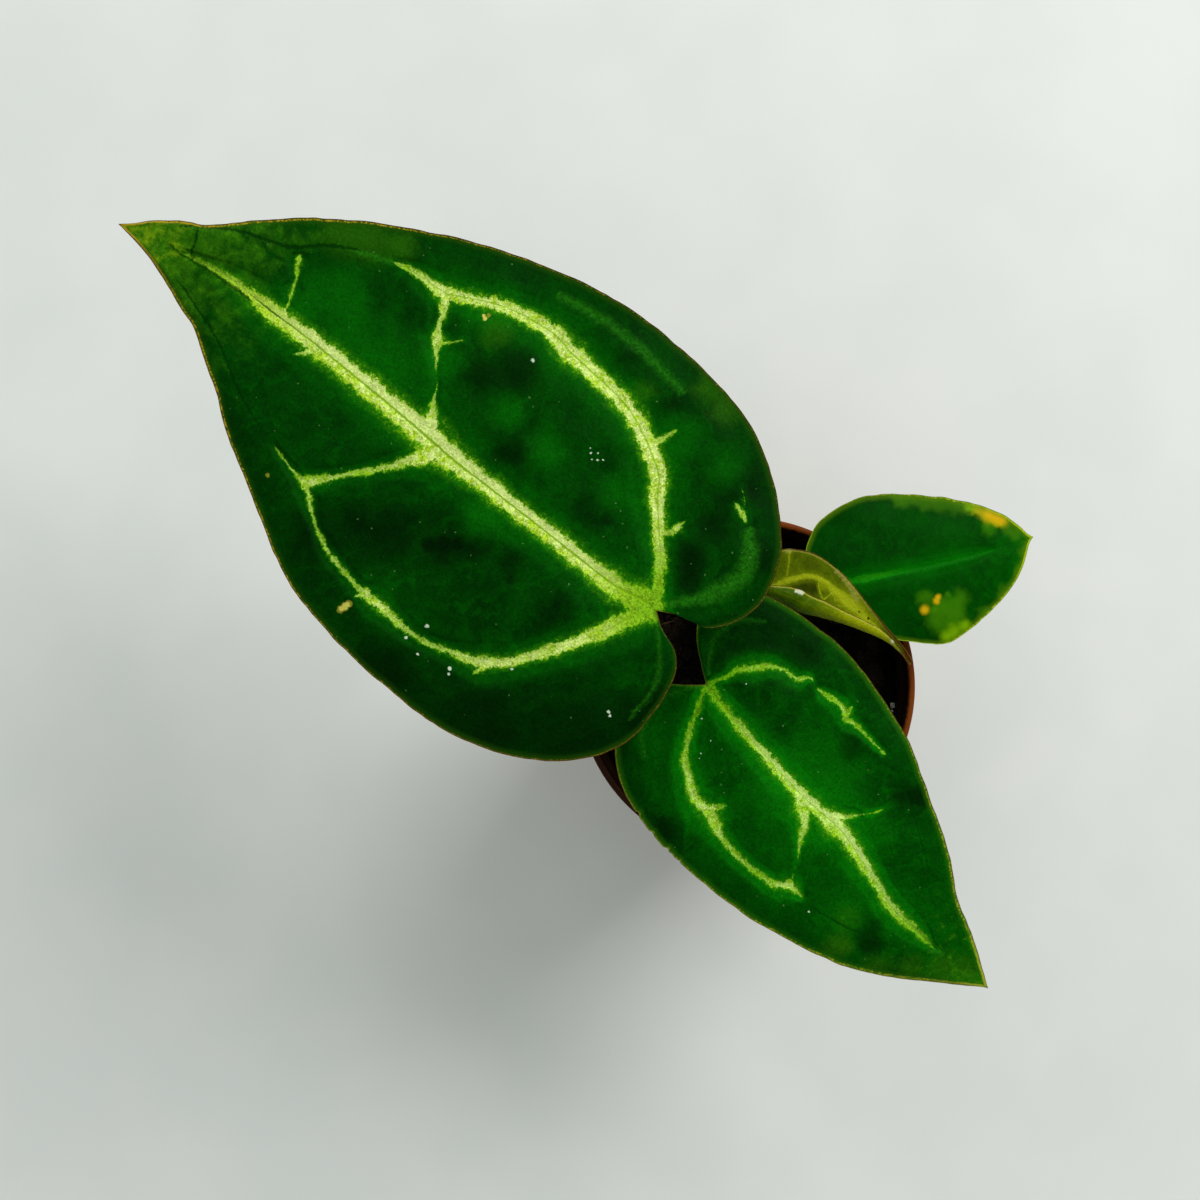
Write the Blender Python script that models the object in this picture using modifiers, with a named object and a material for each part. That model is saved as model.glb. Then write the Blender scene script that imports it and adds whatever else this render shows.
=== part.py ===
"""Potted anthurium: a young plant with heart-shaped leaves in a nine centimetre nursery pot.

The pot stands on z = 0 with its axis on Z. Lengths are in millimetres and become metres
where a mesh is made. Each blade is drawn in its own plan: the first number runs forward
from the joint with the petiole towards the tip, the second to the leaf's left, and the
height comes from a formula for droop, cross curve, puckers and a waved edge.
"""

import math

import bmesh
import bpy
import numpy as np
from mathutils import Matrix, Vector, noise

PLANT = "potted_anthurium"
METRES = 0.001                  # one millimetre in metres
GAP = 0.3                       # clearance kept between pieces that touch

# Pot: a thin plastic cone with a collar under its rim and a foot ring under its floor.
POT_HEIGHT = 75.0
RIM_RADIUS = 45.0
RIM_WIDTH = 1.8
COLLAR_HEIGHT = 9.0
COLLAR_STEP = 2.0
EDGE_ROUND = 0.5                # rounding of the rim, the collar and the foot
WALL = 1.2
BASE_RADIUS = 31.5
FOOT_ROUND = 1.0
FOOT_WIDTH = 3.0
BOSS_RADIUS = 11.0
BASE_RECESS = 2.2
RECESS_SLOPE = 0.6
FLOOR_TOP = BASE_RECESS + WALL
POT_SIDES = 56
HOLE_RADIUS = 3.2
HOLE_RING = 19.5
HOLE_COUNT = 6

# Soil: fills the pot to a little under the rim, with lumps on top.
SOIL_TOP = 66.0
SOIL_RINGS = 15
SOIL_SECTORS = 44
LUMP_HEIGHT = 1.3
LUMP_SIZE = 7.0
CRUMB_HEIGHT = 0.55
CRUMB_SIZE = 3.0
MOUND_HEIGHT = 0.5
MOUND_REACH = 14.0
WALL_DIP = 1.0

# Stem: a short upright crown in a plain hole in the soil, with ringed scars.
STEM_AT = (-4.0, 19.0)
STEM_FOOT = 44.0
STEM_TOP = 88.0
STEM_RADIUS = 5.6
SCAR_SPACING = 5.5
SCAR_DEPTH = 0.35
STEM_SIDES = 20

# Aerial roots: direction from the stem in degrees, reach, height where they leave, radius.
ROOTS = (
    (40.0, 14.0, 74.0, 1.3),
    (149.0, 13.5, 73.0, 1.2),
    (251.0, 13.0, 72.6, 1.25),
)
ROOT_DEPTH = 12.0               # length of root under the soil
ROOT_STEPS = 12

# Cataphylls, the papery bracts at the crown: direction, foot, height, half width, lean.
CATAPHYLL_THICKNESS = 0.6
CATAPHYLLS = (
    (98.0, 69.5, 25.0, 3.6, 4.5),
    (322.0, 70.0, 19.0, 2.4, 3.5),
)

BLADE_THICKNESS = 0.7
RIB_THICKNESS = 1.9             # blade and midrib together at the joint
RIB_HALF_WIDTH = 2.0
RIB_BACK = 3.0                  # how far the rib's swelling reaches behind the joint

# Blades: joint in the world, heading in degrees, and the two margins from joint to tip.
# tip_drop, lobe_drop and side_drop say how far the tip, the back lobes and the edges hang.
LARGE = {
    "joint": (-26.1, 20.5, 158.0),
    "heading": 144.2,
    "fan": 9.0,
    "half_width": 60.0,
    "lobe": 35.0,
    "tip_drop": 24.0,
    "lobe_drop": 6.0,
    "side_drop": 5.0,
    "wave": 0.9,
    "waves": 6.5,
    "pucker": 0.9,
    "rows": 34,
    "columns": 8,
    "right": (
        (0.0, 0.0), (-4.5, -2.0), (-12.0, -4.0), (-17.0, -10.5), (-18.0, -18.5), (-14.0, -29.5),
        (-2.0, -41.5), (12.5, -48.8), (32.0, -52.4), (53.0, -52.3), (77.0, -47.0), (100.0, -38.2),
        (118.0, -28.2), (129.3, -20.1), (133.1, -16.8), (140.0, -11.4), (147.0, -8.5),
        (151.5, -5.9), (154.5, -3.0), (157.5, 0.0),
    ),
    "left": (
        (0.0, 0.0), (-3.5, 2.7), (-8.7, 5.0), (-12.2, 10.0), (-13.0, 19.0), (-11.5, 29.5),
        (-4.0, 39.2), (8.0, 46.6), (25.0, 50.7), (45.0, 50.2), (62.0, 47.2), (75.0, 43.4),
        (90.0, 34.0), (105.0, 25.0), (120.0, 13.8), (133.0, 7.3), (146.0, 2.3), (157.5, 0.0),
    ),
}
MEDIUM = {
    "joint": (-13.8, 2.9, 135.0),
    "heading": -47.0,
    "fan": 6.5,
    "half_width": 35.0,
    "lobe": 25.0,
    "tip_drop": 18.0,
    "lobe_drop": 3.0,
    "side_drop": 4.0,
    "wave": 0.6,
    "waves": 5.5,
    "pucker": 0.6,
    "rows": 28,
    "columns": 7,
    "right": (
        (0.0, 0.0), (-3.0, -3.3), (-8.0, -8.5), (-10.1, -14.5), (-8.3, -20.8), (-2.5, -27.3),
        (6.0, -32.0), (17.5, -33.8), (31.0, -33.6), (47.0, -31.0), (61.0, -27.2), (74.0, -21.8),
        (84.5, -15.2), (93.5, -7.8), (103.3, 0.0),
    ),
    "left": (
        (0.0, 0.0), (-4.4, 2.5), (-9.0, 5.5), (-12.6, 9.5), (-13.2, 15.0), (-10.0, 21.7),
        (-3.0, 26.2), (7.0, 28.8), (18.5, 30.0), (30.0, 29.0), (43.0, 26.5), (56.0, 21.6),
        (69.0, 16.2), (80.0, 9.8), (92.0, 5.3), (103.3, 0.0),
    ),
}
SMALL = {
    "joint": (17.2, 25.9, 88.0),
    "heading": 13.3,
    "fan": 6.0,
    "half_width": 20.0,
    "lobe": 10.0,
    "tip_drop": 9.0,
    "lobe_drop": 1.0,
    "side_drop": 2.0,
    "wave": 0.25,
    "waves": 3.5,
    "pucker": 0.2,
    "rows": 22,
    "columns": 6,
    "right": (
        (0.0, 0.0), (0.9, -4.5), (5.5, -10.3), (14.0, -15.8), (24.0, -20.3), (31.0, -21.8),
        (38.0, -19.5), (46.5, -15.0), (53.0, -9.7), (57.0, -4.0), (60.0, 0.0),
    ),
    "left": (
        (0.0, 0.0), (-1.3, 4.0), (-0.5, 9.5), (4.0, 16.0), (13.0, 20.0), (22.0, 20.2),
        (33.0, 17.5), (44.0, 13.2), (52.0, 8.8), (56.8, 3.2), (60.0, 0.0),
    ),
}

# The leaf that is still opening: one half lies open and the other curls up over the midrib.
# The margin and the outside of the roll are (forward, left); the roll's radius and its turn in
# degrees are given by how far forward they are.
NEW = {
    "joint": (1.6, 25.5, 118.0),
    "heading": -27.4,
    "tip_drop": 13.0,
    "length": 42.0,
    "back": -5.0,
    "open_margin": ((-5.0, 4.0), (-2.5, 9.3), (2.0, 12.2), (8.0, 13.5), (16.0, 12.2), (24.0, 9.0),
                    (32.0, 5.8), (38.0, 3.6), (42.0, 1.6)),
    "roll_outside": ((-5.0, 0.5), (-2.0, -1.0), (4.0, -1.0), (10.0, -0.8), (15.0, 0.4),
                     (22.0, 1.9), (32.0, 3.0), (38.0, 2.1), (42.0, 0.2)),
    "roll_radius": ((-5.0, 1.2), (0.0, 2.1), (8.0, 2.8), (14.0, 2.3), (20.0, 1.6), (30.0, 1.1),
                    (42.0, 0.9)),
    "roll_turn": ((-5.0, 80.0), (0.0, 190.0), (5.0, 225.0), (30.0, 225.0), (37.0, 150.0),
                  (42.0, 45.0)),
    "rows": 28,
    "columns": 17,
    "thickness": 0.6,
}

# Petioles: the points that the centre line passes and the radius at each.
PETIOLES = {
    "petiole_large": (
        ((-10.9, 21.1, 75.5), 1.0), ((-11.5, 21.3, 79.0), 1.9), ((-12.6, 21.9, 85.0), 2.1),
        ((-14.8, 23.8, 98.0), 1.8), ((-19.0, 26.2, 116.0), 1.6), ((-24.5, 26.3, 135.0), 1.6),
        ((-27.7, 23.8, 147.0), 1.9), ((-28.0, 21.9, 153.0), 2.0), ((-28.0, 21.9, 155.6), 1.8),
    ),
    "petiole_medium": (
        ((-3.8, 11.7, 74.5), 1.0), ((-3.8, 11.3, 78.0), 1.8), ((-4.0, 10.4, 83.0), 1.9),
        ((-5.6, 7.6, 95.0), 1.6), ((-8.8, 3.6, 110.0), 1.5), ((-11.6, 1.6, 123.0), 1.6),
        ((-12.5, 1.5, 130.0), 1.8), ((-12.5, 1.5, 132.6), 1.6),
    ),
    "petiole_small": (
        ((3.3, 19.0, 69.5), 0.8), ((3.7, 19.1, 72.5), 1.4), ((4.6, 19.5, 75.0), 1.4),
        ((8.2, 21.6, 79.2), 1.2), ((12.6, 24.2, 82.4), 1.2), ((16.2, 25.5, 83.9), 1.3),
        ((18.2, 26.0, 84.4), 1.2),
    ),
    "petiole_new": (
        ((-3.8, 19.2, 88.3), 1.9), ((-3.6, 19.4, 91.0), 1.7), ((-2.8, 20.8, 98.0), 1.5),
        ((-1.4, 23.4, 107.0), 1.3), ((0.3, 25.3, 113.5), 1.3), ((1.2, 26.0, 116.9), 1.1),
    ),
}
PETIOLE_STEPS = 15


def smooth_curve(points, samples):
    """Evenly spaced points along a smooth curve through the given ones (Catmull-Rom)."""
    knots = np.array(points, dtype=float)
    before = 2.0 * knots[0] - knots[1]
    after = 2.0 * knots[-1] - knots[-2]
    knots = np.vstack((before, knots, after))
    fine = []
    for p0, p1, p2, p3 in zip(knots, knots[1:], knots[2:], knots[3:]):
        for t in np.linspace(0.0, 1.0, 16, endpoint=False):
            straight = 2.0 * p1 + (p2 - p0) * t
            bend = (2.0 * p0 - 5.0 * p1 + 4.0 * p2 - p3) * t ** 2
            twist = (3.0 * p1 - p0 - 3.0 * p2 + p3) * t ** 3
            fine.append(0.5 * (straight + bend + twist))
    fine.append(knots[-2])
    fine = np.array(fine)
    steps = np.linalg.norm(np.diff(fine, axis=0), axis=1)
    travelled = np.concatenate(([0.0], np.cumsum(steps)))
    wanted = np.linspace(0.0, travelled[-1], samples)
    return np.column_stack([np.interp(wanted, travelled, axis) for axis in fine.T])


def make_material(name, colour, roughness):
    """A plain Principled material in the piece's own colour."""
    material = bpy.data.materials.new(name)
    material.use_nodes = True
    shader = material.node_tree.nodes["Principled BSDF"]
    shader.inputs["Base Color"].default_value = (*colour, 1.0)
    shader.inputs["Roughness"].default_value = roughness
    shader.inputs["Metallic"].default_value = 0.0
    material.diffuse_color = (*colour, 1.0)
    return material


def add_object(name, mesh, material, collection):
    """Link a mesh to a collection as one named object."""
    piece = bpy.data.objects.new(name, mesh)
    if material is not None:
        mesh.materials.append(material)
    collection.objects.link(piece)
    return piece


def warped_grid(name, columns, rows, surface):
    """A grid mesh whose points move to surface(u, v) for u, v from 0 to 1, triangulated."""
    bm = bmesh.new()
    bmesh.ops.create_grid(bm, x_segments=columns, y_segments=rows, size=0.5)
    for vert in bm.verts:
        vert.co = Vector(surface(vert.co.x + 0.5, vert.co.y + 0.5)) * METRES
    bmesh.ops.remove_doubles(bm, verts=bm.verts, dist=0.02 * METRES)
    bmesh.ops.triangulate(bm, faces=bm.faces)
    mesh = bpy.data.meshes.new(name)
    bm.to_mesh(mesh)
    bm.free()
    mesh.shade_smooth()
    return mesh


def turned_object(name, profile, steps, material, collection):
    """A solid of revolution about its own Z axis from a profile of (radius, height)."""
    mesh = bpy.data.meshes.new(name)
    points = [(radius * METRES, 0.0, height * METRES) for radius, height in profile]
    mesh.from_pydata(points, [(i, i + 1) for i in range(len(points) - 1)], [])
    piece = add_object(name, mesh, material, collection)
    screw = piece.modifiers.new("Turn", "SCREW")
    screw.steps = steps
    screw.render_steps = steps
    screw.use_merge_vertices = True
    screw.merge_threshold = 0.00001
    screw.use_smooth_shade = True
    return piece


def add_cutter(name, radius, low, high, place, collection):
    """An upright cylinder that cuts a hole, hidden from renders."""
    bm = bmesh.new()
    middle = Matrix.Translation((0.0, 0.0, 0.5 * (low + high) * METRES))
    bmesh.ops.create_cone(
        bm, cap_ends=True, segments=16, radius1=radius * METRES, radius2=radius * METRES,
        depth=(high - low) * METRES, matrix=middle)
    mesh = bpy.data.meshes.new(name)
    bm.to_mesh(mesh)
    bm.free()
    cutter = add_object(name, mesh, None, collection)
    cutter.location = (place[0] * METRES, place[1] * METRES, 0.0)
    cutter.hide_render = True
    cutter.display_type = "WIRE"
    return cutter


def cut(piece, cutter):
    """Subtract a cutter from a piece."""
    hole = piece.modifiers.new(cutter.name, "BOOLEAN")
    hole.operation = "DIFFERENCE"
    hole.solver = "EXACT"
    hole.object = cutter


def pot_wall_radius(height):
    """Outer radius of the pot's cone below the collar."""
    share = height / (POT_HEIGHT - COLLAR_HEIGHT)
    return BASE_RADIUS + share * (RIM_RADIUS - COLLAR_STEP - BASE_RADIUS)


def build_pot(collection, cutters):
    """The pot: cone, collar, rolled rim, foot ring, centre boss and drainage holes."""
    collar_foot = POT_HEIGHT - COLLAR_HEIGHT
    rim_inside = RIM_RADIUS - RIM_WIDTH
    foot_inside = BASE_RADIUS - FOOT_ROUND - FOOT_WIDTH
    fillet = WALL
    profile = [
        (0.0, FLOOR_TOP),
        (pot_wall_radius(FLOOR_TOP) - WALL - fillet, FLOOR_TOP),
        (pot_wall_radius(FLOOR_TOP + fillet) - WALL, FLOOR_TOP + fillet),
        (pot_wall_radius(collar_foot) - WALL, collar_foot + EDGE_ROUND),
        (rim_inside, collar_foot + COLLAR_STEP),
        (rim_inside, POT_HEIGHT - EDGE_ROUND),
        (rim_inside + EDGE_ROUND, POT_HEIGHT),
        (RIM_RADIUS - EDGE_ROUND, POT_HEIGHT),
        (RIM_RADIUS, POT_HEIGHT - EDGE_ROUND),
        (RIM_RADIUS - EDGE_ROUND, collar_foot + EDGE_ROUND),
        (RIM_RADIUS - 2.0 * EDGE_ROUND, collar_foot),
        (pot_wall_radius(collar_foot), collar_foot),
        (pot_wall_radius(FOOT_ROUND), FOOT_ROUND),
        (BASE_RADIUS - FOOT_ROUND, 0.0),
        (foot_inside, 0.0),
        (foot_inside - RECESS_SLOPE, BASE_RECESS),
        (BOSS_RADIUS + RECESS_SLOPE, BASE_RECESS),
        (BOSS_RADIUS, 0.0),
        (0.0, 0.0),
    ]
    material = make_material("terracotta_plastic", (0.36, 0.105, 0.028), 0.45)
    pot = turned_object("pot", profile, POT_SIDES, material, collection)
    for number in range(HOLE_COUNT):
        turn = 2.0 * math.pi * number / HOLE_COUNT
        place = (HOLE_RING * math.cos(turn), HOLE_RING * math.sin(turn))
        cutter = add_cutter(f"drain_{number + 1}", HOLE_RADIUS, 0.0, 2.0 * FLOOR_TOP, place, cutters)
        cut(pot, cutter)


def soil_height(x, y, reach):
    """Height of the soil: rolling lumps, a low mound at the stem and a slight dip at the wall."""
    lumps = LUMP_HEIGHT * noise.noise(Vector((x / LUMP_SIZE, y / LUMP_SIZE, 0.4)))
    crumbs = CRUMB_HEIGHT * noise.noise(Vector((x / CRUMB_SIZE, y / CRUMB_SIZE, 5.2)))
    from_stem = math.hypot(x - STEM_AT[0], y - STEM_AT[1])
    mound = MOUND_HEIGHT * math.exp(-(from_stem / MOUND_REACH) ** 2)
    return SOIL_TOP + mound - WALL_DIP * reach ** 6 + lumps + crumbs


def build_soil(collection, cutters):
    """The potting mix: lumps on top, a cone of soil down to the pot's floor, plain holes."""
    top_radius = pot_wall_radius(SOIL_TOP - WALL_DIP - CRUMB_HEIGHT) - WALL - GAP
    foot = FLOOR_TOP + GAP
    foot_radius = pot_wall_radius(foot) - 2.0 * WALL - GAP
    rows = SOIL_RINGS + 2

    def surface(around, down):
        turn = 2.0 * math.pi * (around % 1.0)
        ring = round(down * rows)
        reach = min(ring, SOIL_RINGS) / SOIL_RINGS
        if ring <= SOIL_RINGS:
            x = reach * top_radius * math.cos(turn)
            y = reach * top_radius * math.sin(turn)
            return (x, y, soil_height(x, y, reach))
        radius = foot_radius if ring < rows else 0.0
        return (radius * math.cos(turn), radius * math.sin(turn), foot)

    mesh = warped_grid("soil", SOIL_SECTORS, rows, surface)
    bm = bmesh.new()
    bm.from_mesh(mesh)
    bmesh.ops.recalc_face_normals(bm, faces=bm.faces)
    bm.to_mesh(mesh)
    bm.free()
    material = make_material("potting_mix", (0.018, 0.012, 0.008), 0.95)
    soil = add_object("soil", mesh, material, collection)
    stem_hole = add_cutter(
        "stem_hole", STEM_RADIUS + SCAR_DEPTH + GAP, STEM_FOOT - GAP, POT_HEIGHT + 5.0, STEM_AT, cutters)
    cut(soil, stem_hole)
    for number, root in enumerate(ROOTS):
        place = root_landing(root)
        low = SOIL_TOP - ROOT_DEPTH - GAP
        radius = root[3] + 2.0 * GAP
        cut(soil, add_cutter(f"root_hole_{number + 1}", radius, low, POT_HEIGHT + 5.0, place, cutters))


def root_landing(root):
    """Where an aerial root enters the soil."""
    turn = math.radians(root[0])
    return (STEM_AT[0] + root[1] * math.cos(turn), STEM_AT[1] + root[1] * math.sin(turn))


def stem_radius(height):
    """Radius of the stem: a slow taper with a shallow groove at each leaf scar."""
    share = max(0.0, (height - SOIL_TOP) / (STEM_TOP - SOIL_TOP))
    scar = SCAR_DEPTH * math.cos(2.0 * math.pi * (height - SOIL_TOP) / SCAR_SPACING)
    return STEM_RADIUS - 1.0 * share ** 2 + scar


def tube_along(name, points, radii, collection):
    """A curve tube with filled caps, its radius given at each point."""
    data = bpy.data.curves.new(name, "CURVE")
    data.dimensions = "3D"
    data.bevel_depth = METRES
    data.bevel_resolution = 2
    data.use_fill_caps = True
    spline = data.splines.new("POLY")
    spline.points.add(len(points) - 1)
    for knot, place, radius in zip(spline.points, points, radii):
        knot.co = (*(Vector(place) * METRES), 1.0)
        knot.radius = radius
    tube = bpy.data.objects.new(name, data)
    collection.objects.link(tube)
    return tube


def curve_to_mesh(tube, material, collection):
    """Replace a curve object by a mesh object of the same shape with its caps welded."""
    bpy.context.view_layer.update()
    evaluated = tube.evaluated_get(bpy.context.evaluated_depsgraph_get())
    mesh = bpy.data.meshes.new_from_object(evaluated)
    bm = bmesh.new()
    bm.from_mesh(mesh)
    bmesh.ops.remove_doubles(bm, verts=bm.verts, dist=0.01 * METRES)
    bmesh.ops.recalc_face_normals(bm, faces=bm.faces)
    bm.to_mesh(mesh)
    bm.free()
    mesh.shade_smooth()
    place = tube.matrix_world.copy()
    name = tube.name
    data = tube.data
    bpy.data.objects.remove(tube)
    bpy.data.curves.remove(data)
    piece = add_object(name, mesh, material, collection)
    piece.matrix_world = place
    return piece


def root_path(root):
    """Centre line of an aerial root: out of the stem, over, and straight down into the soil."""
    turn = math.radians(root[0])
    outward = Vector((math.cos(turn), math.sin(turn), 0.0))
    centre = Vector((*STEM_AT, 0.0))
    reach, leave = root[1], root[2]
    stations = (
        (1.5, leave - 1.0), (5.5, leave), (reach - 3.5, leave - 0.6), (reach - 0.7, leave - 3.2),
        (reach, SOIL_TOP + 1.0), (reach, SOIL_TOP - 0.5 * ROOT_DEPTH), (reach, SOIL_TOP - ROOT_DEPTH),
    )
    return [tuple(centre + outward * out + Vector((0.0, 0.0, height))) for out, height in stations]


def build_stem(collection, cutters):
    """The crown: a ringed stem turned from a profile, with the aerial roots grown into it."""
    shoulder = STEM_TOP - 1.2
    heights = np.linspace(shoulder, STEM_FOOT + 1.5, 36)
    profile = [(0.0, STEM_TOP), (0.5 * STEM_RADIUS, STEM_TOP)]
    profile += [(stem_radius(height), height) for height in heights]
    profile += [(0.0, STEM_FOOT)]
    material = make_material("stem_bark", (0.13, 0.15, 0.045), 0.7)
    stem = turned_object("stem", profile, STEM_SIDES, material, collection)
    stem.location = (STEM_AT[0] * METRES, STEM_AT[1] * METRES, 0.0)
    for number, root in enumerate(ROOTS):
        path = smooth_curve(root_path(root), ROOT_STEPS)
        taper = np.linspace(1.15, 0.85, len(path)) * root[3]
        tube = tube_along(f"root_{number + 1}", path, taper, cutters)
        grown = curve_to_mesh(tube, None, cutters)
        grown.hide_render = True
        grown.display_type = "WIRE"
        union = stem.modifiers.new(grown.name, "BOOLEAN")
        union.operation = "UNION"
        union.solver = "EXACT"
        union.object = grown


def build_petioles(collection):
    """The leaf stalks: narrow at the crown, thick at the sheath, swollen under the blade."""
    material = make_material("petiole_green", (0.12, 0.21, 0.035), 0.45)
    for name, stations in PETIOLES.items():
        path = smooth_curve([(*place, radius) for place, radius in stations], PETIOLE_STEPS)
        tube = tube_along(name, path[:, :3], path[:, 3], collection)
        curve_to_mesh(tube, material, collection)


def blade_height(leaf, forward, left, edge, along):
    """Height of a blade above its joint at a place in its plan.

    edge runs from 0 at the midrib to 1 at the margin, along from 0 at the joint to 1 at the tip.
    """
    length = leaf["right"][-1][0]
    tip = leaf["tip_drop"] * (max(forward, 0.0) / length) ** 2
    lobe = leaf["lobe_drop"] * (min(forward, 0.0) / leaf["lobe"]) ** 2
    side = leaf["side_drop"] * (left / leaf["half_width"]) ** 2
    turns = 2.0 * math.pi * leaf["waves"] * along + (0.0 if left > 0.0 else 1.3)
    wave = leaf["wave"] * edge ** 3 * math.sin(turns) * math.sin(math.pi * along) ** 0.5
    beside = min(1.0, abs(left) / (0.18 * leaf["half_width"]))
    field = math.sin(forward / (0.085 * length) + 0.6) * math.sin(left / (0.16 * leaf["half_width"]))
    pucker = leaf["pucker"] * beside * (1.0 - edge ** 4) * field
    return wave + pucker - tip - lobe - side


def plan_to_world(leaf, forward, left, up):
    """Carry a place in a leaf's plan to the world, in millimetres."""
    turn = math.radians(leaf["heading"])
    x, y, z = leaf["joint"]
    return (
        x + forward * math.cos(turn) - left * math.sin(turn),
        y + forward * math.sin(turn) + left * math.cos(turn),
        z + up,
    )


def build_blade(name, leaf, material, collection):
    """A heart-shaped blade: rows fan from the midrib to both margins, then get a thickness.

    The rows leave the midrib further forward than the joint, by the fan length at the back,
    so the first rows turn round the lobes and the last ones run to the tip.
    """
    rows, columns = leaf["rows"], leaf["columns"]
    length = leaf["right"][-1][0]
    margins = {
        -1: smooth_curve(leaf["right"], rows + 1),
        1: smooth_curve(leaf["left"], rows + 1),
    }

    def surface(along, across):
        row = round(along * rows)
        side = 2.0 * across - 1.0
        edge = abs(side)
        rib = leaf["fan"] + (length - leaf["fan"]) * along ** 2
        margin = margins[1 if side > 0.0 else -1][row]
        forward = rib + edge * (margin[0] - rib)
        left = edge * margin[1]
        return plan_to_world(leaf, forward, left, blade_height(leaf, forward, left, edge, along))

    mesh = warped_grid(name, rows, 2 * columns, surface)
    blade = add_object(name, mesh, material, collection)
    thick = blade.vertex_groups.new(name="thickness")
    turn = math.radians(leaf["heading"])
    for vert in mesh.vertices:
        dx = vert.co.x / METRES - leaf["joint"][0]
        dy = vert.co.y / METRES - leaf["joint"][1]
        forward = dx * math.cos(turn) + dy * math.sin(turn)
        left = dy * math.cos(turn) - dx * math.sin(turn)
        fade = max(0.0, 1.0 - max(forward, 0.0) / length)
        off_rib = (left / RIB_HALF_WIDTH) ** 2 + (min(forward, 0.0) / RIB_BACK) ** 2
        thick.add([vert.index], fade * math.exp(-off_rib), "REPLACE")
    solid = blade.modifiers.new("Thickness", "SOLIDIFY")
    solid.thickness = RIB_THICKNESS * METRES
    solid.thickness_vertex_group = BLADE_THICKNESS / RIB_THICKNESS
    solid.vertex_group = thick.name
    solid.offset = -1.0


def at_station(table, forward):
    """Value read from a short list of (forward, value) pairs."""
    stations, values = zip(*table)
    return float(np.interp(forward, stations, values))


def build_new_blade(collection, material):
    """The opening leaf: a flat half, a trough at the midrib and a half that curls back over it."""
    margin = smooth_curve(NEW["open_margin"], 60)
    outside = smooth_curve(NEW["roll_outside"], 60)
    flat_share = 0.45

    def surface(along, across):
        forward = NEW["back"] + along * (NEW["length"] - NEW["back"])
        open_edge = float(np.interp(forward, margin[:, 0], margin[:, 1]))
        roll_edge = float(np.interp(forward, outside[:, 0], outside[:, 1]))
        radius = at_station(NEW["roll_radius"], forward)
        turn = math.radians(at_station(NEW["roll_turn"], forward))
        trough = roll_edge + radius
        if across < flat_share:
            share = 1.0 - across / flat_share
            left = trough + share * max(open_edge - trough, 0.3)
            up = 1.6 * share ** 2 + 0.35 * share * math.sin(forward / 2.6)
        else:
            angle = turn * (across - flat_share) / (1.0 - flat_share)
            left = trough - radius * math.sin(angle)
            up = radius * (1.0 - math.cos(angle))
        droop = NEW["tip_drop"] * (max(forward, 0.0) / NEW["length"]) ** 1.5
        return plan_to_world(NEW, forward, left, up - droop)

    mesh = warped_grid("blade_new", NEW["rows"], NEW["columns"], surface)
    blade = add_object("blade_new", mesh, material, collection)
    solid = blade.modifiers.new("Thickness", "SOLIDIFY")
    solid.thickness = NEW["thickness"] * METRES
    solid.offset = 0.0


def build_cataphylls(collection):
    """The dry bracts at the crown: narrow shells that follow the stem and lean away from it."""
    material = make_material("dry_bract", (0.3, 0.19, 0.08), 0.8)
    for number, (direction, foot, height, half_width, lean) in enumerate(CATAPHYLLS):

        def surface(across, up, direction=direction, foot=foot, height=height,
                    half_width=half_width, lean=lean):
            radius = STEM_RADIUS + SCAR_DEPTH + 1.5 * GAP + lean * up ** 2
            side = (2.0 * across - 1.0) * half_width * (1.0 - up ** 1.6) + (across - 0.5) * 0.8
            angle = math.radians(direction) + side / radius
            x = STEM_AT[0] + radius * math.cos(angle)
            y = STEM_AT[1] + radius * math.sin(angle)
            return (x, y, foot + height * up)

        name = f"cataphyll_{number + 1}"
        mesh = warped_grid(name, 8, 12, surface)
        bract = add_object(name, mesh, material, collection)
        solid = bract.modifiers.new("Thickness", "SOLIDIFY")
        solid.thickness = CATAPHYLL_THICKNESS * METRES
        solid.offset = 1.0


def main():
    """Clear the scene and build every piece."""
    for old in list(bpy.data.objects):
        bpy.data.objects.remove(old, do_unlink=True)
    collection = bpy.data.collections.new(PLANT)
    cutters = bpy.data.collections.new("cutters")
    bpy.context.scene.collection.children.link(collection)
    bpy.context.scene.collection.children.link(cutters)
    build_pot(collection, cutters)
    build_soil(collection, cutters)
    build_stem(collection, cutters)
    build_petioles(collection)
    build_cataphylls(collection)
    dark_leaf = make_material("velvet_leaf", (0.012, 0.085, 0.012), 0.5)
    build_blade("blade_large", LARGE, dark_leaf, collection)
    build_blade("blade_medium", MEDIUM, dark_leaf, collection)
    glossy_leaf = make_material("young_leaf", (0.02, 0.16, 0.02), 0.35)
    build_blade("blade_small", SMALL, glossy_leaf, collection)
    opening_leaf = make_material("opening_leaf", (0.32, 0.33, 0.05), 0.4)
    build_new_blade(collection, opening_leaf)


main()
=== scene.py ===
import math

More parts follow.
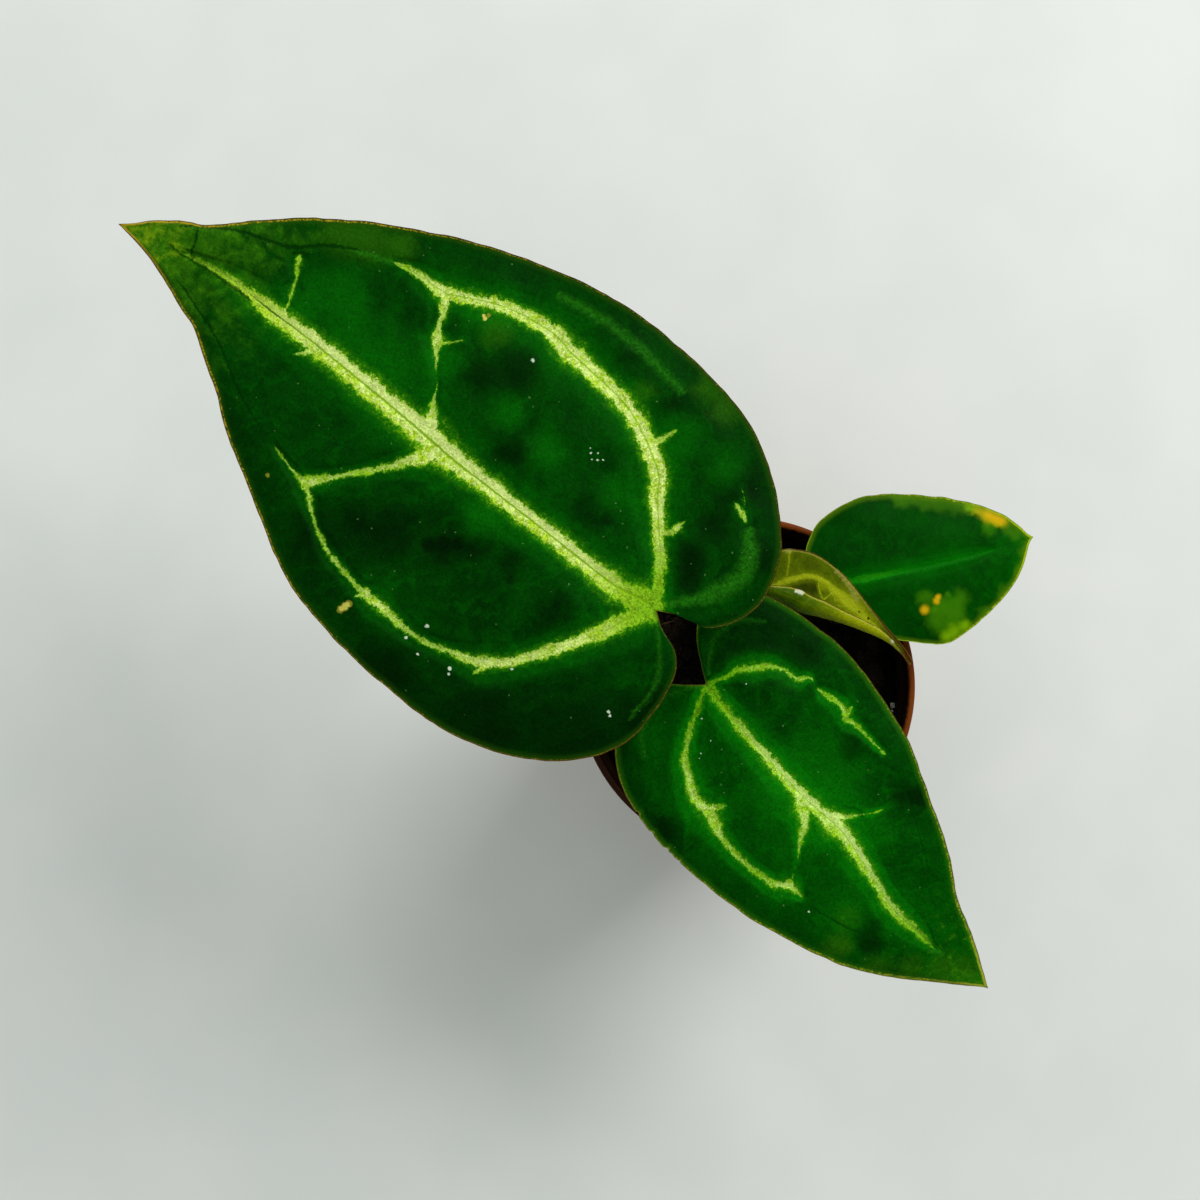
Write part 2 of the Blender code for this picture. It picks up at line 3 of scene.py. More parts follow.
import bpy
import numpy as np
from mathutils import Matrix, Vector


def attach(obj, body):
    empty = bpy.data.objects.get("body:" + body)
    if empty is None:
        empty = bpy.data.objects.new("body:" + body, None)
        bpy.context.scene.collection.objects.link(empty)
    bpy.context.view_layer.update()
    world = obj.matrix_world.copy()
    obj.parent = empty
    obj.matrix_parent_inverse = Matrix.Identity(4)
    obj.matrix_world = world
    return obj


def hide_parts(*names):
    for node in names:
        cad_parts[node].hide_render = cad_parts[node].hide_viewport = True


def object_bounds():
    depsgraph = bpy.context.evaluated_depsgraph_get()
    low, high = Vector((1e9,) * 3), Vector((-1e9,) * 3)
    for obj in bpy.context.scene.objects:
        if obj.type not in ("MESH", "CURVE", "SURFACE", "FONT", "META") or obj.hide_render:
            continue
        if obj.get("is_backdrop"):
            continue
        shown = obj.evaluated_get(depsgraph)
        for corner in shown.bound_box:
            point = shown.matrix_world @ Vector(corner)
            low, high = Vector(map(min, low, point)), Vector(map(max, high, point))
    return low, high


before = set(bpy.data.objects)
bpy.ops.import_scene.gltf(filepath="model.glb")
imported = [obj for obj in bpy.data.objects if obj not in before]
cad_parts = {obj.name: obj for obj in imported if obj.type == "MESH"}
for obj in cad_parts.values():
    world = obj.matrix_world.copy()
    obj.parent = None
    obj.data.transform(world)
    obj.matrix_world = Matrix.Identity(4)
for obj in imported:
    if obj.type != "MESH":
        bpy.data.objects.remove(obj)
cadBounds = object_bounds()

# A young anthurium in a nursery pot, seen from straight above.
# Lengths are millimetres until a mesh is made. A blade is drawn in its own plan: forward from the
# joint with the petiole to the tip, then to the leaf's left. Its height follows from a formula.


def smoothCurve(points, samples):
    # a smooth cubic curve through the points, read again at even steps of its length
    knots = np.asarray(points, dtype=float)
    knots = np.vstack((2 * knots[0] - knots[1], knots, 2 * knots[-1] - knots[-2]))
    p0, p1, p2, p3 = (knots[i:len(knots) - 3 + i, None, :] for i in range(4))
    t = np.linspace(0, 1, 24, endpoint=False)[None, :, None]
    fine = 0.5 * (2 * p1 + (p2 - p0) * t + (2 * p0 - 5 * p1 + 4 * p2 - p3) * t ** 2
                  + (3 * p1 - p0 - 3 * p2 + p3) * t ** 3)
    fine = np.vstack((fine.reshape(-1, knots.shape[1]), knots[-2]))
    # a third column alone is a width, not a place
    across = 3 if fine.shape[1] > 3 else 2
    steps = np.linalg.norm(np.diff(fine[:, :across], axis=0), axis=1)
    travelled = np.concatenate(([0], np.cumsum(steps)))
    at = np.linspace(0, travelled[-1], samples)
    return np.column_stack([np.interp(at, travelled, axis) for axis in fine.T])


def turns(count):
    # count even directions round a circle, in radians
    return np.linspace(0, 2 * np.pi, count, endpoint=False)


def roundAxis(radius, turn, height, centre=(0, 0)):
    # places at a radius, direction and height from an upright axis
    x, y = centre[0] + radius * np.cos(turn), centre[1] + radius * np.sin(turn)
    return np.stack(np.broadcast_arrays(x, y, height), -1)


def smoothStep(low, high, value):
    # 0 below low, 1 above high, and an S between them; low may be the greater
    t = np.clip((value - low) / (high - low), 0, 1)
    return t * t * (3 - 2 * t)


def softNoise(x, y, seed, octaves=1):
    # smooth random hills between -1 and 1: random corners of a unit lattice, joined by S curves
    x, y = np.broadcast_arrays(np.asarray(x, dtype=float), np.asarray(y, dtype=float))
    table = np.random.default_rng(seed).uniform(-1, 1, (64, 64))
    total, weight, size = np.zeros(x.shape), 0.0, 1.0
    for octave in range(octaves):
        px, py = x / size + 17.3 * octave, y / size - 9.1 * octave
        ix, iy = np.floor(px).astype(int), np.floor(py).astype(int)
        fx, fy = px - ix, py - iy
        fx, fy = fx * fx * (3 - 2 * fx), fy * fy * (3 - 2 * fy)
        corner = lambda a, b: table[(ix + a) % 64, (iy + b) % 64]
        low = corner(0, 0) * (1 - fx) + corner(1, 0) * fx
        high = corner(0, 1) * (1 - fx) + corner(1, 1) * fx
        total += size * (low * (1 - fy) + high * fy)
        weight += size
        size *= 0.5
    return total / weight


def gridTriangles(ids):
    # two triangles for each cell of a grid of vertex numbers, without those that a weld flattened
    a, b, c, d = ids[:-1, :-1], ids[1:, :-1], ids[1:, 1:], ids[:-1, 1:]
    tris = np.concatenate((np.stack((a, b, c), -1).reshape(-1, 3),
                           np.stack((a, c, d), -1).reshape(-1, 3)))
    whole = (tris[:, 0] != tris[:, 1]) & (tris[:, 1] != tris[:, 2]) & (tris[:, 2] != tris[:, 0])
    return tris[whole]


def copyTriangles(tris, size, count):
    # the triangles of count meshes of size points each, one after the other
    return (tris[None] + size * np.arange(count)[:, None, None]).reshape(-1, 3)


def putMesh(name, points, triangles, material, fields=None, smooth=True):
    # points in millimetres; fields are values for each point that the material reads by name
    used, renumbered = np.unique(triangles, return_inverse=True)
    points = points[used]
    triangles = renumbered.reshape(-1, 3)
    corners = points[triangles]
    volume = np.einsum("ij,ij->i", corners[:, 0], np.cross(corners[:, 1], corners[:, 2])).sum()
    if volume < 0:                              # faces point out
        triangles = triangles[:, ::-1]
    mesh = bpy.data.meshes.new(name)
    mesh.from_pydata((points * 0.001).tolist(), [], triangles.tolist())
    for field, values in (fields or {}).items():
        values = np.asarray(values, dtype=np.float32)[used]
        kind, key = ("FLOAT", "value") if values.ndim == 1 else ("FLOAT_VECTOR", "vector")
        mesh.attributes.new(field, kind, "POINT").data.foreach_set(key, values.ravel())
    mesh.update()
    if smooth:
        mesh.shade_smooth()
    mesh.materials.append(material)
    piece = bpy.data.objects.new(name, mesh)
    bpy.context.scene.collection.objects.link(piece)
    return piece


def settle(piece, slot, *nodes):
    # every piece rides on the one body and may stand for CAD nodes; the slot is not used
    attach(piece, "root")
    if nodes:
        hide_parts(*nodes)
    print(f"{piece.name}: {len(piece.data.polygons)} faces")


def closedSheet(upper, lower):
    # two grids of the same size joined along their four sides
    rows, columns = upper.shape[:2]
    top = np.arange(rows * columns).reshape(rows, columns)
    bottom = top + rows * columns
    loop = lambda ids: np.concatenate((ids[0, :], ids[1:, -1], ids[-1, -2::-1], ids[-2::-1, 0]))
    wall = np.stack((loop(top), loop(bottom)), 1)
    tris = np.concatenate((gridTriangles(top), gridTriangles(bottom)[:, ::-1],
                           gridTriangles(wall)[:, ::-1]))
    return np.concatenate((upper.reshape(-1, 3), lower.reshape(-1, 3))), tris


def sheetNormals(surface):
    # the cross product of the two directions of a grid
    normal = np.cross(np.gradient(surface, axis=0), np.gradient(surface, axis=1))
    return normal / np.maximum(np.linalg.norm(normal, axis=2, keepdims=True), 1e-9)


def wrappedGrid(rings):
    # rows of rings that close on themselves; the first and last ring shrink to one point each
    rows, columns = rings.shape[:2]
    ids = np.arange(rows * columns).reshape(rows, columns)
    ids[0, :] = ids[0, 0]
    ids[-1, :] = ids[-1, 0]
    ids = np.concatenate((ids, ids[:, :1]), 1)
    return rings.reshape(-1, 3), gridTriangles(ids)


class Reading:
    # what comes out of a node: + - * / ** and abs() on it add a Math node each
    def __init__(self, bench, socket):
        self.bench, self.socket = bench, socket

    def __abs__(self):
        # the amount without its sign
        return self.bench.math("ABSOLUTE", self)


for sign, kind in (("add", "ADD"), ("sub", "SUBTRACT"), ("mul", "MULTIPLY"), ("truediv", "DIVIDE"),
                   ("pow", "POWER")):
    setattr(Reading, f"__{sign}__", lambda a, b, kind=kind: a.bench.math(kind, a, b))
    setattr(Reading, f"__r{sign}__", lambda a, b, kind=kind: a.bench.math(kind, b, a))


class Bench:
    # short-hand for one material: each call adds a node and gives back what comes out of it
    def __init__(self, name, looks):
        self.looks = looks
        self.material = bpy.data.materials.new(name)
        self.material.use_nodes = True
        self.tree = self.material.node_tree
        self.tree.nodes.clear()
        self.shader = self.tree.nodes.new("ShaderNodeBsdfPrincipled")
        end = self.tree.nodes.new("ShaderNodeOutputMaterial")
        self.tree.links.new(self.shader.outputs[0], end.inputs["Surface"])
        place = self.node("ShaderNodeTexCoord", "Object")
        self.place = self.vector("SCALE", place, scale=1000.0)          # millimetres

    def feed(self, socket, value):
        # a link from a reading, a colour by its name in looks, or a fixed value
        if isinstance(value, str):
            value = self.looks[value]
        if isinstance(value, Reading):
            self.tree.links.new(value.socket, socket)
        elif isinstance(value, tuple) and socket.type == "RGBA":
            socket.default_value = (*value, 1.0)
        else:
            socket.default_value = value

    def node(self, kind, output, inputs=(), **settings):
        # a node with its settings and inputs, by number or name; output None gives all its readings
        node = self.tree.nodes.new(kind)
        for key, value in settings.items():
            setattr(node, key, value)
        for key, value in inputs:
            self.feed(node.inputs[key], value)
        if output is None:
            return [Reading(self, socket) for socket in node.outputs]
        return Reading(self, node.outputs[output])

    def math(self, operation, a, b=0.0):
        # one Math node
        return self.node("ShaderNodeMath", 0, ((0, a), (1, b)), operation=operation)

    def vector(self, operation, a, b=(0.0, 0.0, 0.0), scale=1.0):
        # one Vector Math node
        second = ("Scale", scale) if operation == "SCALE" else (1, b)
        output = "Value" if operation in ("LENGTH", "DISTANCE") else 0
        return self.node("ShaderNodeVectorMath", output, ((0, a), second), operation=operation)

    def step(self, value, low, high, toLow=0.0, toHigh=1.0):
        # an S curve from toLow at low to toHigh at high
        given = enumerate((value, low, high, toLow, toHigh))
        return self.node("ShaderNodeMapRange", 0, given, interpolation_type="SMOOTHSTEP")

    def noise(self, scale, detail=3.0, rough=0.55, warp=0.0, where=None, output="Fac"):
        # cloudy values about 0.5; scale counts clouds per millimetre
        given = (("Vector", where or self.place), ("Scale", scale), ("Detail", detail),
                 ("Roughness", rough), ("Distortion", warp))
        return self.node("ShaderNodeTexNoise", output, given)

    def shift(self, scale, amount, where):
        # a random step of up to half the amount each way
        cloud = self.node("ShaderNodeTexNoise", "Color", (("Vector", where), ("Scale", scale)))
        step = self.vector("SUBTRACT", cloud, (0.5, 0.5, 0.5))
        return self.vector("SCALE", step, scale=amount)

    def stretch(self, x, y, z, where=None):
        # the place times x, y and z, so that what is drawn there is narrower or longer
        return self.vector("MULTIPLY", where or self.place, (x, y, z))

    def cells(self, scale, feature="F1", output="Distance", where=None):
        # distance to the nearest of scattered points, or that point's own colour
        given = (("Vector", where or self.place), ("Scale", scale))
        return self.node("ShaderNodeTexVoronoi", output, given, feature=feature)

    def mix(self, factor, a, b, how="MIX"):
        # a where factor is 0, b where it is 1
        given = ((0, factor), (6, a), (7, b))
        return self.node("ShaderNodeMix", 2, given, data_type="RGBA", blend_type=how)

    def coat(self, under, tone, value, low, high, share=1.0):
        # tone laid over under as value passes from low to high, up to a share
        return self.mix(self.step(value, low, high, 0.0, share), under, tone)

    def coats(self, colour, *layers):
        # several coats, each (tone, value, low, high, share) over the ones before
        for layer in layers:
            colour = self.coat(colour, *layer)
        return colour

    def times(self, colour, amount):
        # a colour times an amount
        return self.mix(1.0, colour, amount, "MULTIPLY")

    def field(self, name, output="Fac"):
        # values that the mesh carries for each point
        return self.node("ShaderNodeAttribute", output, attribute_name=name)

    def parts(self, vector):
        # x, y and z
        return self.node("ShaderNodeSeparateXYZ", None, ((0, vector),))

    def lines(self, name):
        # of the nearest line: how faint it is, how far away, and half its width
        return self.parts(self.field(name, "Vector"))

    def near(self, name, wander):
        # distance to the nearest line, moved by wander, over its half width; faint ones further
        lift, away, width = self.lines(name)
        return abs(away + wander) / width + lift

    def bump(self, height, strength, distance, under=None):
        # relief of up to distance in millimetres
        given = [("Strength", strength), ("Distance", distance * 0.001), ("Height", height)]
        return self.node("ShaderNodeBump", 0, given + [("Normal", under)] * (under is not None))

    def finish(self, colour, roughness, normal, specular):
        # feed the shader and hand the material over
        for key, value in (("Base Color", colour), ("Roughness", roughness), ("Normal", normal),
                           ("Specular IOR Level", specular)):
            if value is not None:
                self.feed(self.shader.inputs[key], value)
        return self.material


# Stage, light and camera

# for an image 1200 pixels wide
view = {
    "eye": (-0.039, 0.023, 0.635),              # metres, straight above, a little left of the pot
    "focalPixels": 2103, "imageWidth": 1200, "sensor": 36,
    "lamps": {"key": ((0.85, 0.95, 1.25), 0.9, 19.0), "fill": ((-0.7, 1.1, 1.1), 1.4, 3.5)},
    "sky": (0.93, 1.0, 0.96, 1.0), "skyStrength": 0.42, "floorHalf": 30.0,
    "floorColour": (0.88, 0.885, 0.86), "floorCloud": (0.83, 0.85, 0.82),
}


def setStage():
    # a wide pale floor, one large soft key light, a weak fill and an even sky
    scene, half = bpy.context.scene, view["floorHalf"]

    def place(name, data):
        # an object in the scene
        item = bpy.data.objects.new(name, data)
        scene.collection.objects.link(item)
        return item

    bench = Bench("pale_floor", view)
    colour = bench.coat("floorColour", "floorCloud", bench.noise(0.02, 2.0), 0.3, 0.7)
    mesh = bpy.data.meshes.new("floor")
    corners = [(-half, -half, 0), (half, -half, 0), (half, half, 0), (-half, half, 0)]
    mesh.from_pydata(corners, [], [(0, 1, 2, 3)])
    mesh.materials.append(bench.finish(colour, 0.6, None, 0.2))
    floor = place("floor", mesh)
    floor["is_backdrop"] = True
    for name, (spot, size, power) in view["lamps"].items():
        lamp = bpy.data.lights.new(name, "AREA")
        lamp.energy, lamp.size = power, size
        light = place(name, lamp)
        light.location = spot
        light.rotation_euler = (-light.location).to_track_quat("-Z", "Y").to_euler()
    scene.world = bpy.data.worlds.new("soft_sky")
    scene.world.use_nodes = True
    sky = scene.world.node_tree.nodes["Background"].inputs
    sky["Color"].default_value = view["sky"]
    sky["Strength"].default_value = view["skyStrength"]
    scene.view_settings.view_transform = "Standard"
    camera = bpy.data.cameras.new("overhead")
    camera.sensor_width = view["sensor"]
    camera.lens = view["focalPixels"] / view["imageWidth"] * view["sensor"]
    camera.clip_start = 0.01
    scene.camera = place("overhead", camera)
    scene.camera.location = view["eye"]


setStage()
print("stage set")


# Blades. A vein is (paleness, ((forward, left, half width), ...)), and those in one layer don't
# cross. The joint is where the petiole ends, the heading is in degrees, and a fade is (start, end,
# least) in shares of the length. Colours are in linear light.

largeLeaf = {
    "name": "leafLarge", "node": "blade_large", "slot": "velvet_leaf", "joint": (-26.1, 20.5, 158),
    "heading": 144.2, "fan": 9, "halfWidth": 60, "lobe": 35, "tipDrop": 24, "lobeDrop": 6,
    "sideDrop": 5, "wave": 0.9, "waves": 6.5, "pucker": 0.9, "thickness": 0.6, "quilt": 0.9,
    "wrinkle": 0.32, "rows": 340, "columns": 180, "underColumns": 72,
    "rimGlow": (0.02, 0.075, 0.002), "rimLine": (0.075, 0.034, 0.007),
    "rimPale": (0.42, 0.3, 0.016), "rimWidth": 0.65, "litSide": -1, "veinFade": (0.7, 0.9, 0.6),
    "coreFade": (0.62, 0.76, 0.12), "sideCore": 0, "shy": 4.5,
    "tones": {},
    # margins, forward and left
    "right": ((0, 0), (-4.5, -2), (-12, -4), (-17, -10.5), (-18, -18.5), (-14, -29.5),
        (-2, -41.5), (12.5, -48.8), (32, -52.4), (53, -52.3), (77, -47), (100, -38.2),
        (118, -28.2), (129.3, -20.1), (133.1, -16.8), (137, -13.5), (140, -11.4), (143, -10.2),
        (146, -8.7), (151, -5.4), (154.3, -2.6), (157.5, 0)),
    "left": ((0, 0), (-3.5, 2.7), (-8.7, 5), (-12.2, 10), (-13, 19), (-11.5, 29.5), (-4, 39.2),
        (8, 46.6), (25, 50.7), (45, 50.2), (62, 47.2), (75, 43.4), (90, 34), (105, 25),
        (112.5, 19), (118.4, 15), (124, 11.1), (127.5, 9.2), (132.3, 7.5), (137.5, 5.3),
        (145.5, 2.4), (151.5, 1), (157.5, 0)),
    "rib": ((0, 0), (12, 0.8), (40, 0), (62, -0.8), (90, -3), (114, -4), (141, -3), (157.5, 0)),
    "layers": (
        ((1, ((0, 0, 2.4), (4, 0, 3), (10, 0.8, 2.6), (16, 0.8, 2.3), (31.5, 0.1, 2),
            (47.5, -0.5, 2.2), (57, -0.8, 2.6), (64, -1.4, 3.5), (69, -1.9, 3),
            (80, -2.7, 2.6), (98.5, -3.9, 2.3), (107, -4.2, 2.1), (114, -4.3, 2),
            (121.5, -4.7, 1.4), (128, -4.7, 1), (134, -4.1, 0.55), (139, -3.5, 0.3))),),
        ((1, ((0, 0, 1.5), (3, -4.5, 1.2), (6.2, -10, 1.2), (10.7, -15.6, 1.5),
            (15.2, -21.5, 1.9), (19, -26.5, 2), (31.5, -33.5, 2), (45.5, -36, 2),
            (50, -36.5, 2.4), (57.5, -38, 1.9), (69, -36.5, 1.5), (79, -32.5, 1.4),
            (82, -31.2, 1.8), (86.5, -31, 1.2), (91.5, -31, 0.8), (95, -30.5, 0.4),
            (98.5, -29.5, 0.05))),
         (0.92, ((0, 0, 2), (4, 4.8, 2), (7.5, 11.5, 1.8), (13, 19.5, 1.4), (20, 28.5, 1.3),
            (25, 32.6, 1.5), (28.5, 34, 1.2), (33, 35.2, 0.8), (37.5, 36.5, 0.7),
            (43, 37, 0.75), (48.5, 36.5, 0.9))),
         (0.78, ((48.5, 36.5, 0.9), (52.5, 36, 1.3), (56, 36, 1), (60, 35.4, 0.6),
            (68, 33.5, 0.65), (71.5, 32, 0.55), (75, 30, 0.4), (78.5, 27.3, 0.6),
            (81, 24.8, 0.8), (82.8, 23.6, 1.1), (85, 23.2, 0.6), (88, 22.5, 0.4),
            (93, 21, 0.25), (96, 20, 0.05)))),
        ((0.9, ((82, -31.2, 1.7), (80, -27, 1), (79, -24, 0.75), (77.6, -21.5, 1.2),
            (76, -19, 0.8), (73.5, -15.5, 0.24), (71, -12.5, 0.22), (69.8, -9.5, 0.4),
            (68, -6.5, 1.3), (65.5, -2.5, 2.4))),
         (0.9, ((62.5, 0.6, 2.6), (65, 4, 1.6), (67.5, 7, 1), (71, 11, 0.8), (76, 16, 0.6),
            (80, 20.5, 0.9), (83, 23.6, 1.2))),
         (0.62, ((110.5, -4.5, 1.1), (111.3, -8, 0.35), (112.3, -11, 0.75), (113.4, -14, 0.3),
            (115, -17, 0.85), (115.6, -18.8, 0.6)))),
        ((0.8, ((23, -30, 1.2), (21.5, -33.5, 0.7), (20, -37, 0.05))),
         (0.8, ((10, -14.6, 0.6), (7.9, -16.2, 0.7), (7.4, -17.6, 0.9), (7.1, -18.9, 0.9),
            (6.9, -19.7, 0.3))),
         (0.8, ((99, -3.4, 1.2), (101.5, -0.5, 0.7), (103.5, 1.5, 0.05))),
         (0.8, ((24, 31.5, 1.2), (25, 34.5, 0.6), (25.8, 37, 0.05))),
         (0.8, ((56, 35, 1.2), (58.5, 38.5, 0.05))),
         (0.5, ((77, -20.5, 0.8), (74.5, -22.3, 0.3), (72.5, -24.3, 0.3))),
         (0.9, ((-0.5, -30.2, 0.5), (-2.6, -29.4, 0.7), (-4.6, -28.2, 0.5))),
         (0.25, ((0.5, -34, 0.25), (-2.5, -31.2, 0.25))))),
    # bites in the right margin: forward, depth, half length
    "nicks": (),
    # broad soft bands of lighter green
    "bands": (
        (0.95, ((-1, -2.5, 0.9), (-4, -5.5, 1.2), (-7, -9, 1.6), (-9.5, -13.5, 2.2),
            (-11, -18, 2.3), (-9.5, -23, 2), (-6, -27.5, 1.3))),
        (0.3, ((-2, 3, 1.1), (-4.5, 5.5, 1.3), (-7.5, 9.5, 1.4), (-9.5, 14, 1.5), (-9.8, 19, 1.4),
            (-9, 24, 0.8))),
        (0.5, ((61, -46, 1.6), (50, -47, 2), (38, -46.5, 2), (24, -44, 1.6))),
        (0.55, ((94, -31.5, 1.6), (99, -29.3, 1.2), (104, -27.5, 0.9), (110, -26, 0.5)))),
    # fine folds, painted dark with the shade in them
    "grooves": (
        (1, ((103, -28.4, 0.1), (107, -26.8, 0.45), (113, -23.5, 0.5), (118, -19.5, 0.55),
            (124, -17.3, 0.5), (132, -15, 0.45), (140.5, -10.5, 0.4), (147, -6, 0.1))),
        (0.8, ((97, 20, 0.2), (108, 15.5, 0.4), (119, 9, 0.4), (131, 4.5, 0.35), (143, 1, 0.1))),
        (0.9, ((140.6, -11, 0.3), (138.8, -7.8, 0.4), (138.2, -5.4, 0.3), (137.4, -3.2, 0.3))),
        (0.7, ((137.4, -3.2, 0.3), (141.5, -3, 0.3), (145.5, -3.6, 0.2))),
        (1, ((116.5, -3.4, 0.1), (121, -3.6, 0.4), (127, -3.7, 0.45), (133, -3.5, 0.45),
            (138, -3.1, 0.35), (144, -1.8, 0.1)))),
    # kind, then forward, left and radius of each
    "spots": (
        ("scab", ((58.9, 42.1, 0.85), (58.5, 41, 1), (58.1, 39.9, 0.85))),
        ("scar", ((58.8, 41.8, 0.6), (58.5, 41, 0.7), (58.2, 40.2, 0.6))),
        ("scab", ((91, 27, 0.55),)),
        ("scar", ((71.3, -31.5, 0.5), (71.9, -32, 0.4))),
        ("scab", ((71, -32.6, 0.5),)),
        ("smoke", ((67.5, -31, 3.4),)),
        ("dust", ((56.5, -30, 0.42), (40.5, 33.5, 0.42), (43, 38.5, 0.3), (38.5, 40, 0.28),
            (30.6, 38.3, 0.4), (30, 39.4, 0.3), (19, 30, 0.35), (-4.5, 25, 0.4),
            (-5.3, 25.6, 0.3), (31, -20, 0.24), (31.9, -21.4, 0.22), (33.2, -20.4, 0.24),
            (32.2, -19.4, 0.2), (34, -21.2, 0.17), (30, -20.8, 0.17))),
        # painted shade: shadows in wrinkles and hollows, and shade along the drooping left margin
        ("dark", ((42, 12.5, 3.4),)),
        ("wrinkleShadow", ((45.7, -10.6, 1.7), (47.7, -9.1, 1.9), (49.9, -7.6, 1.6), (46, 14.6, 1.7),
            (48.5, 16.4, 2), (51, 18.2, 1.5))),
        ("dark", ((48, 16.5, 4.5), (47.5, -9.2, 4.5), (25, -8.5, 4.6))),
        ("wrinkleShadow", ((21.5, -10.5, 1.5),)),
        ("dark", ((31.5, 13.5, 1.6), (18, 46, 13), (-2, 33, 11), (42, 48, 9), (75, 31, 6),
            (0.5, -23.5, 4.2), (1.5, -13.5, 3.6), (1.2, -13.8, 4.5), (-1.5, -9.5, 2.6),
            (6.7, 12.7, 4.5), (-11.4, 22.1, 5), (-12.5, -24, 3), (2, -34, 5), (69, 23, 3.5),
            (18, 15, 5), (60, 22, 7))),
        # painted light on the raised puckers
        ("lit", ((42, -15, 4.5), (23, -16.5, 4.5), (54, -17, 3.5))),
        ("dark", ((33.5, 10, 3),)),
        ("lit", ((84, -12, 7),)),
        ("dark", ((58, -26, 5), (64, -20, 4))),
        ("lit", ((109, -10.5, 5.5), (103, -17.7, 5), (96.7, -13.4, 5), (6.4, -35.5, 4))),
        ("dark", ((38.7, -41, 3), (24.5, -39.5, 2.5), (-13.5, 17, 3.5))),
        ("lit", ((74, -17.9, 4.5), (72, -31, 4.5), (44.8, 6.5, 4), (18.5, -35, 5))),
        ("smoke", ((104, -31, 4.5), (97, -34, 3.2), (111, -28.5, 4.5), (14.3, -46.5, 3.2),
            (20.5, -48, 2.6), (31.4, -38.8, 2.2))),
        ("lit", ((73.6, -16.6, 3.2), (69.5, -9.8, 3)))),
}

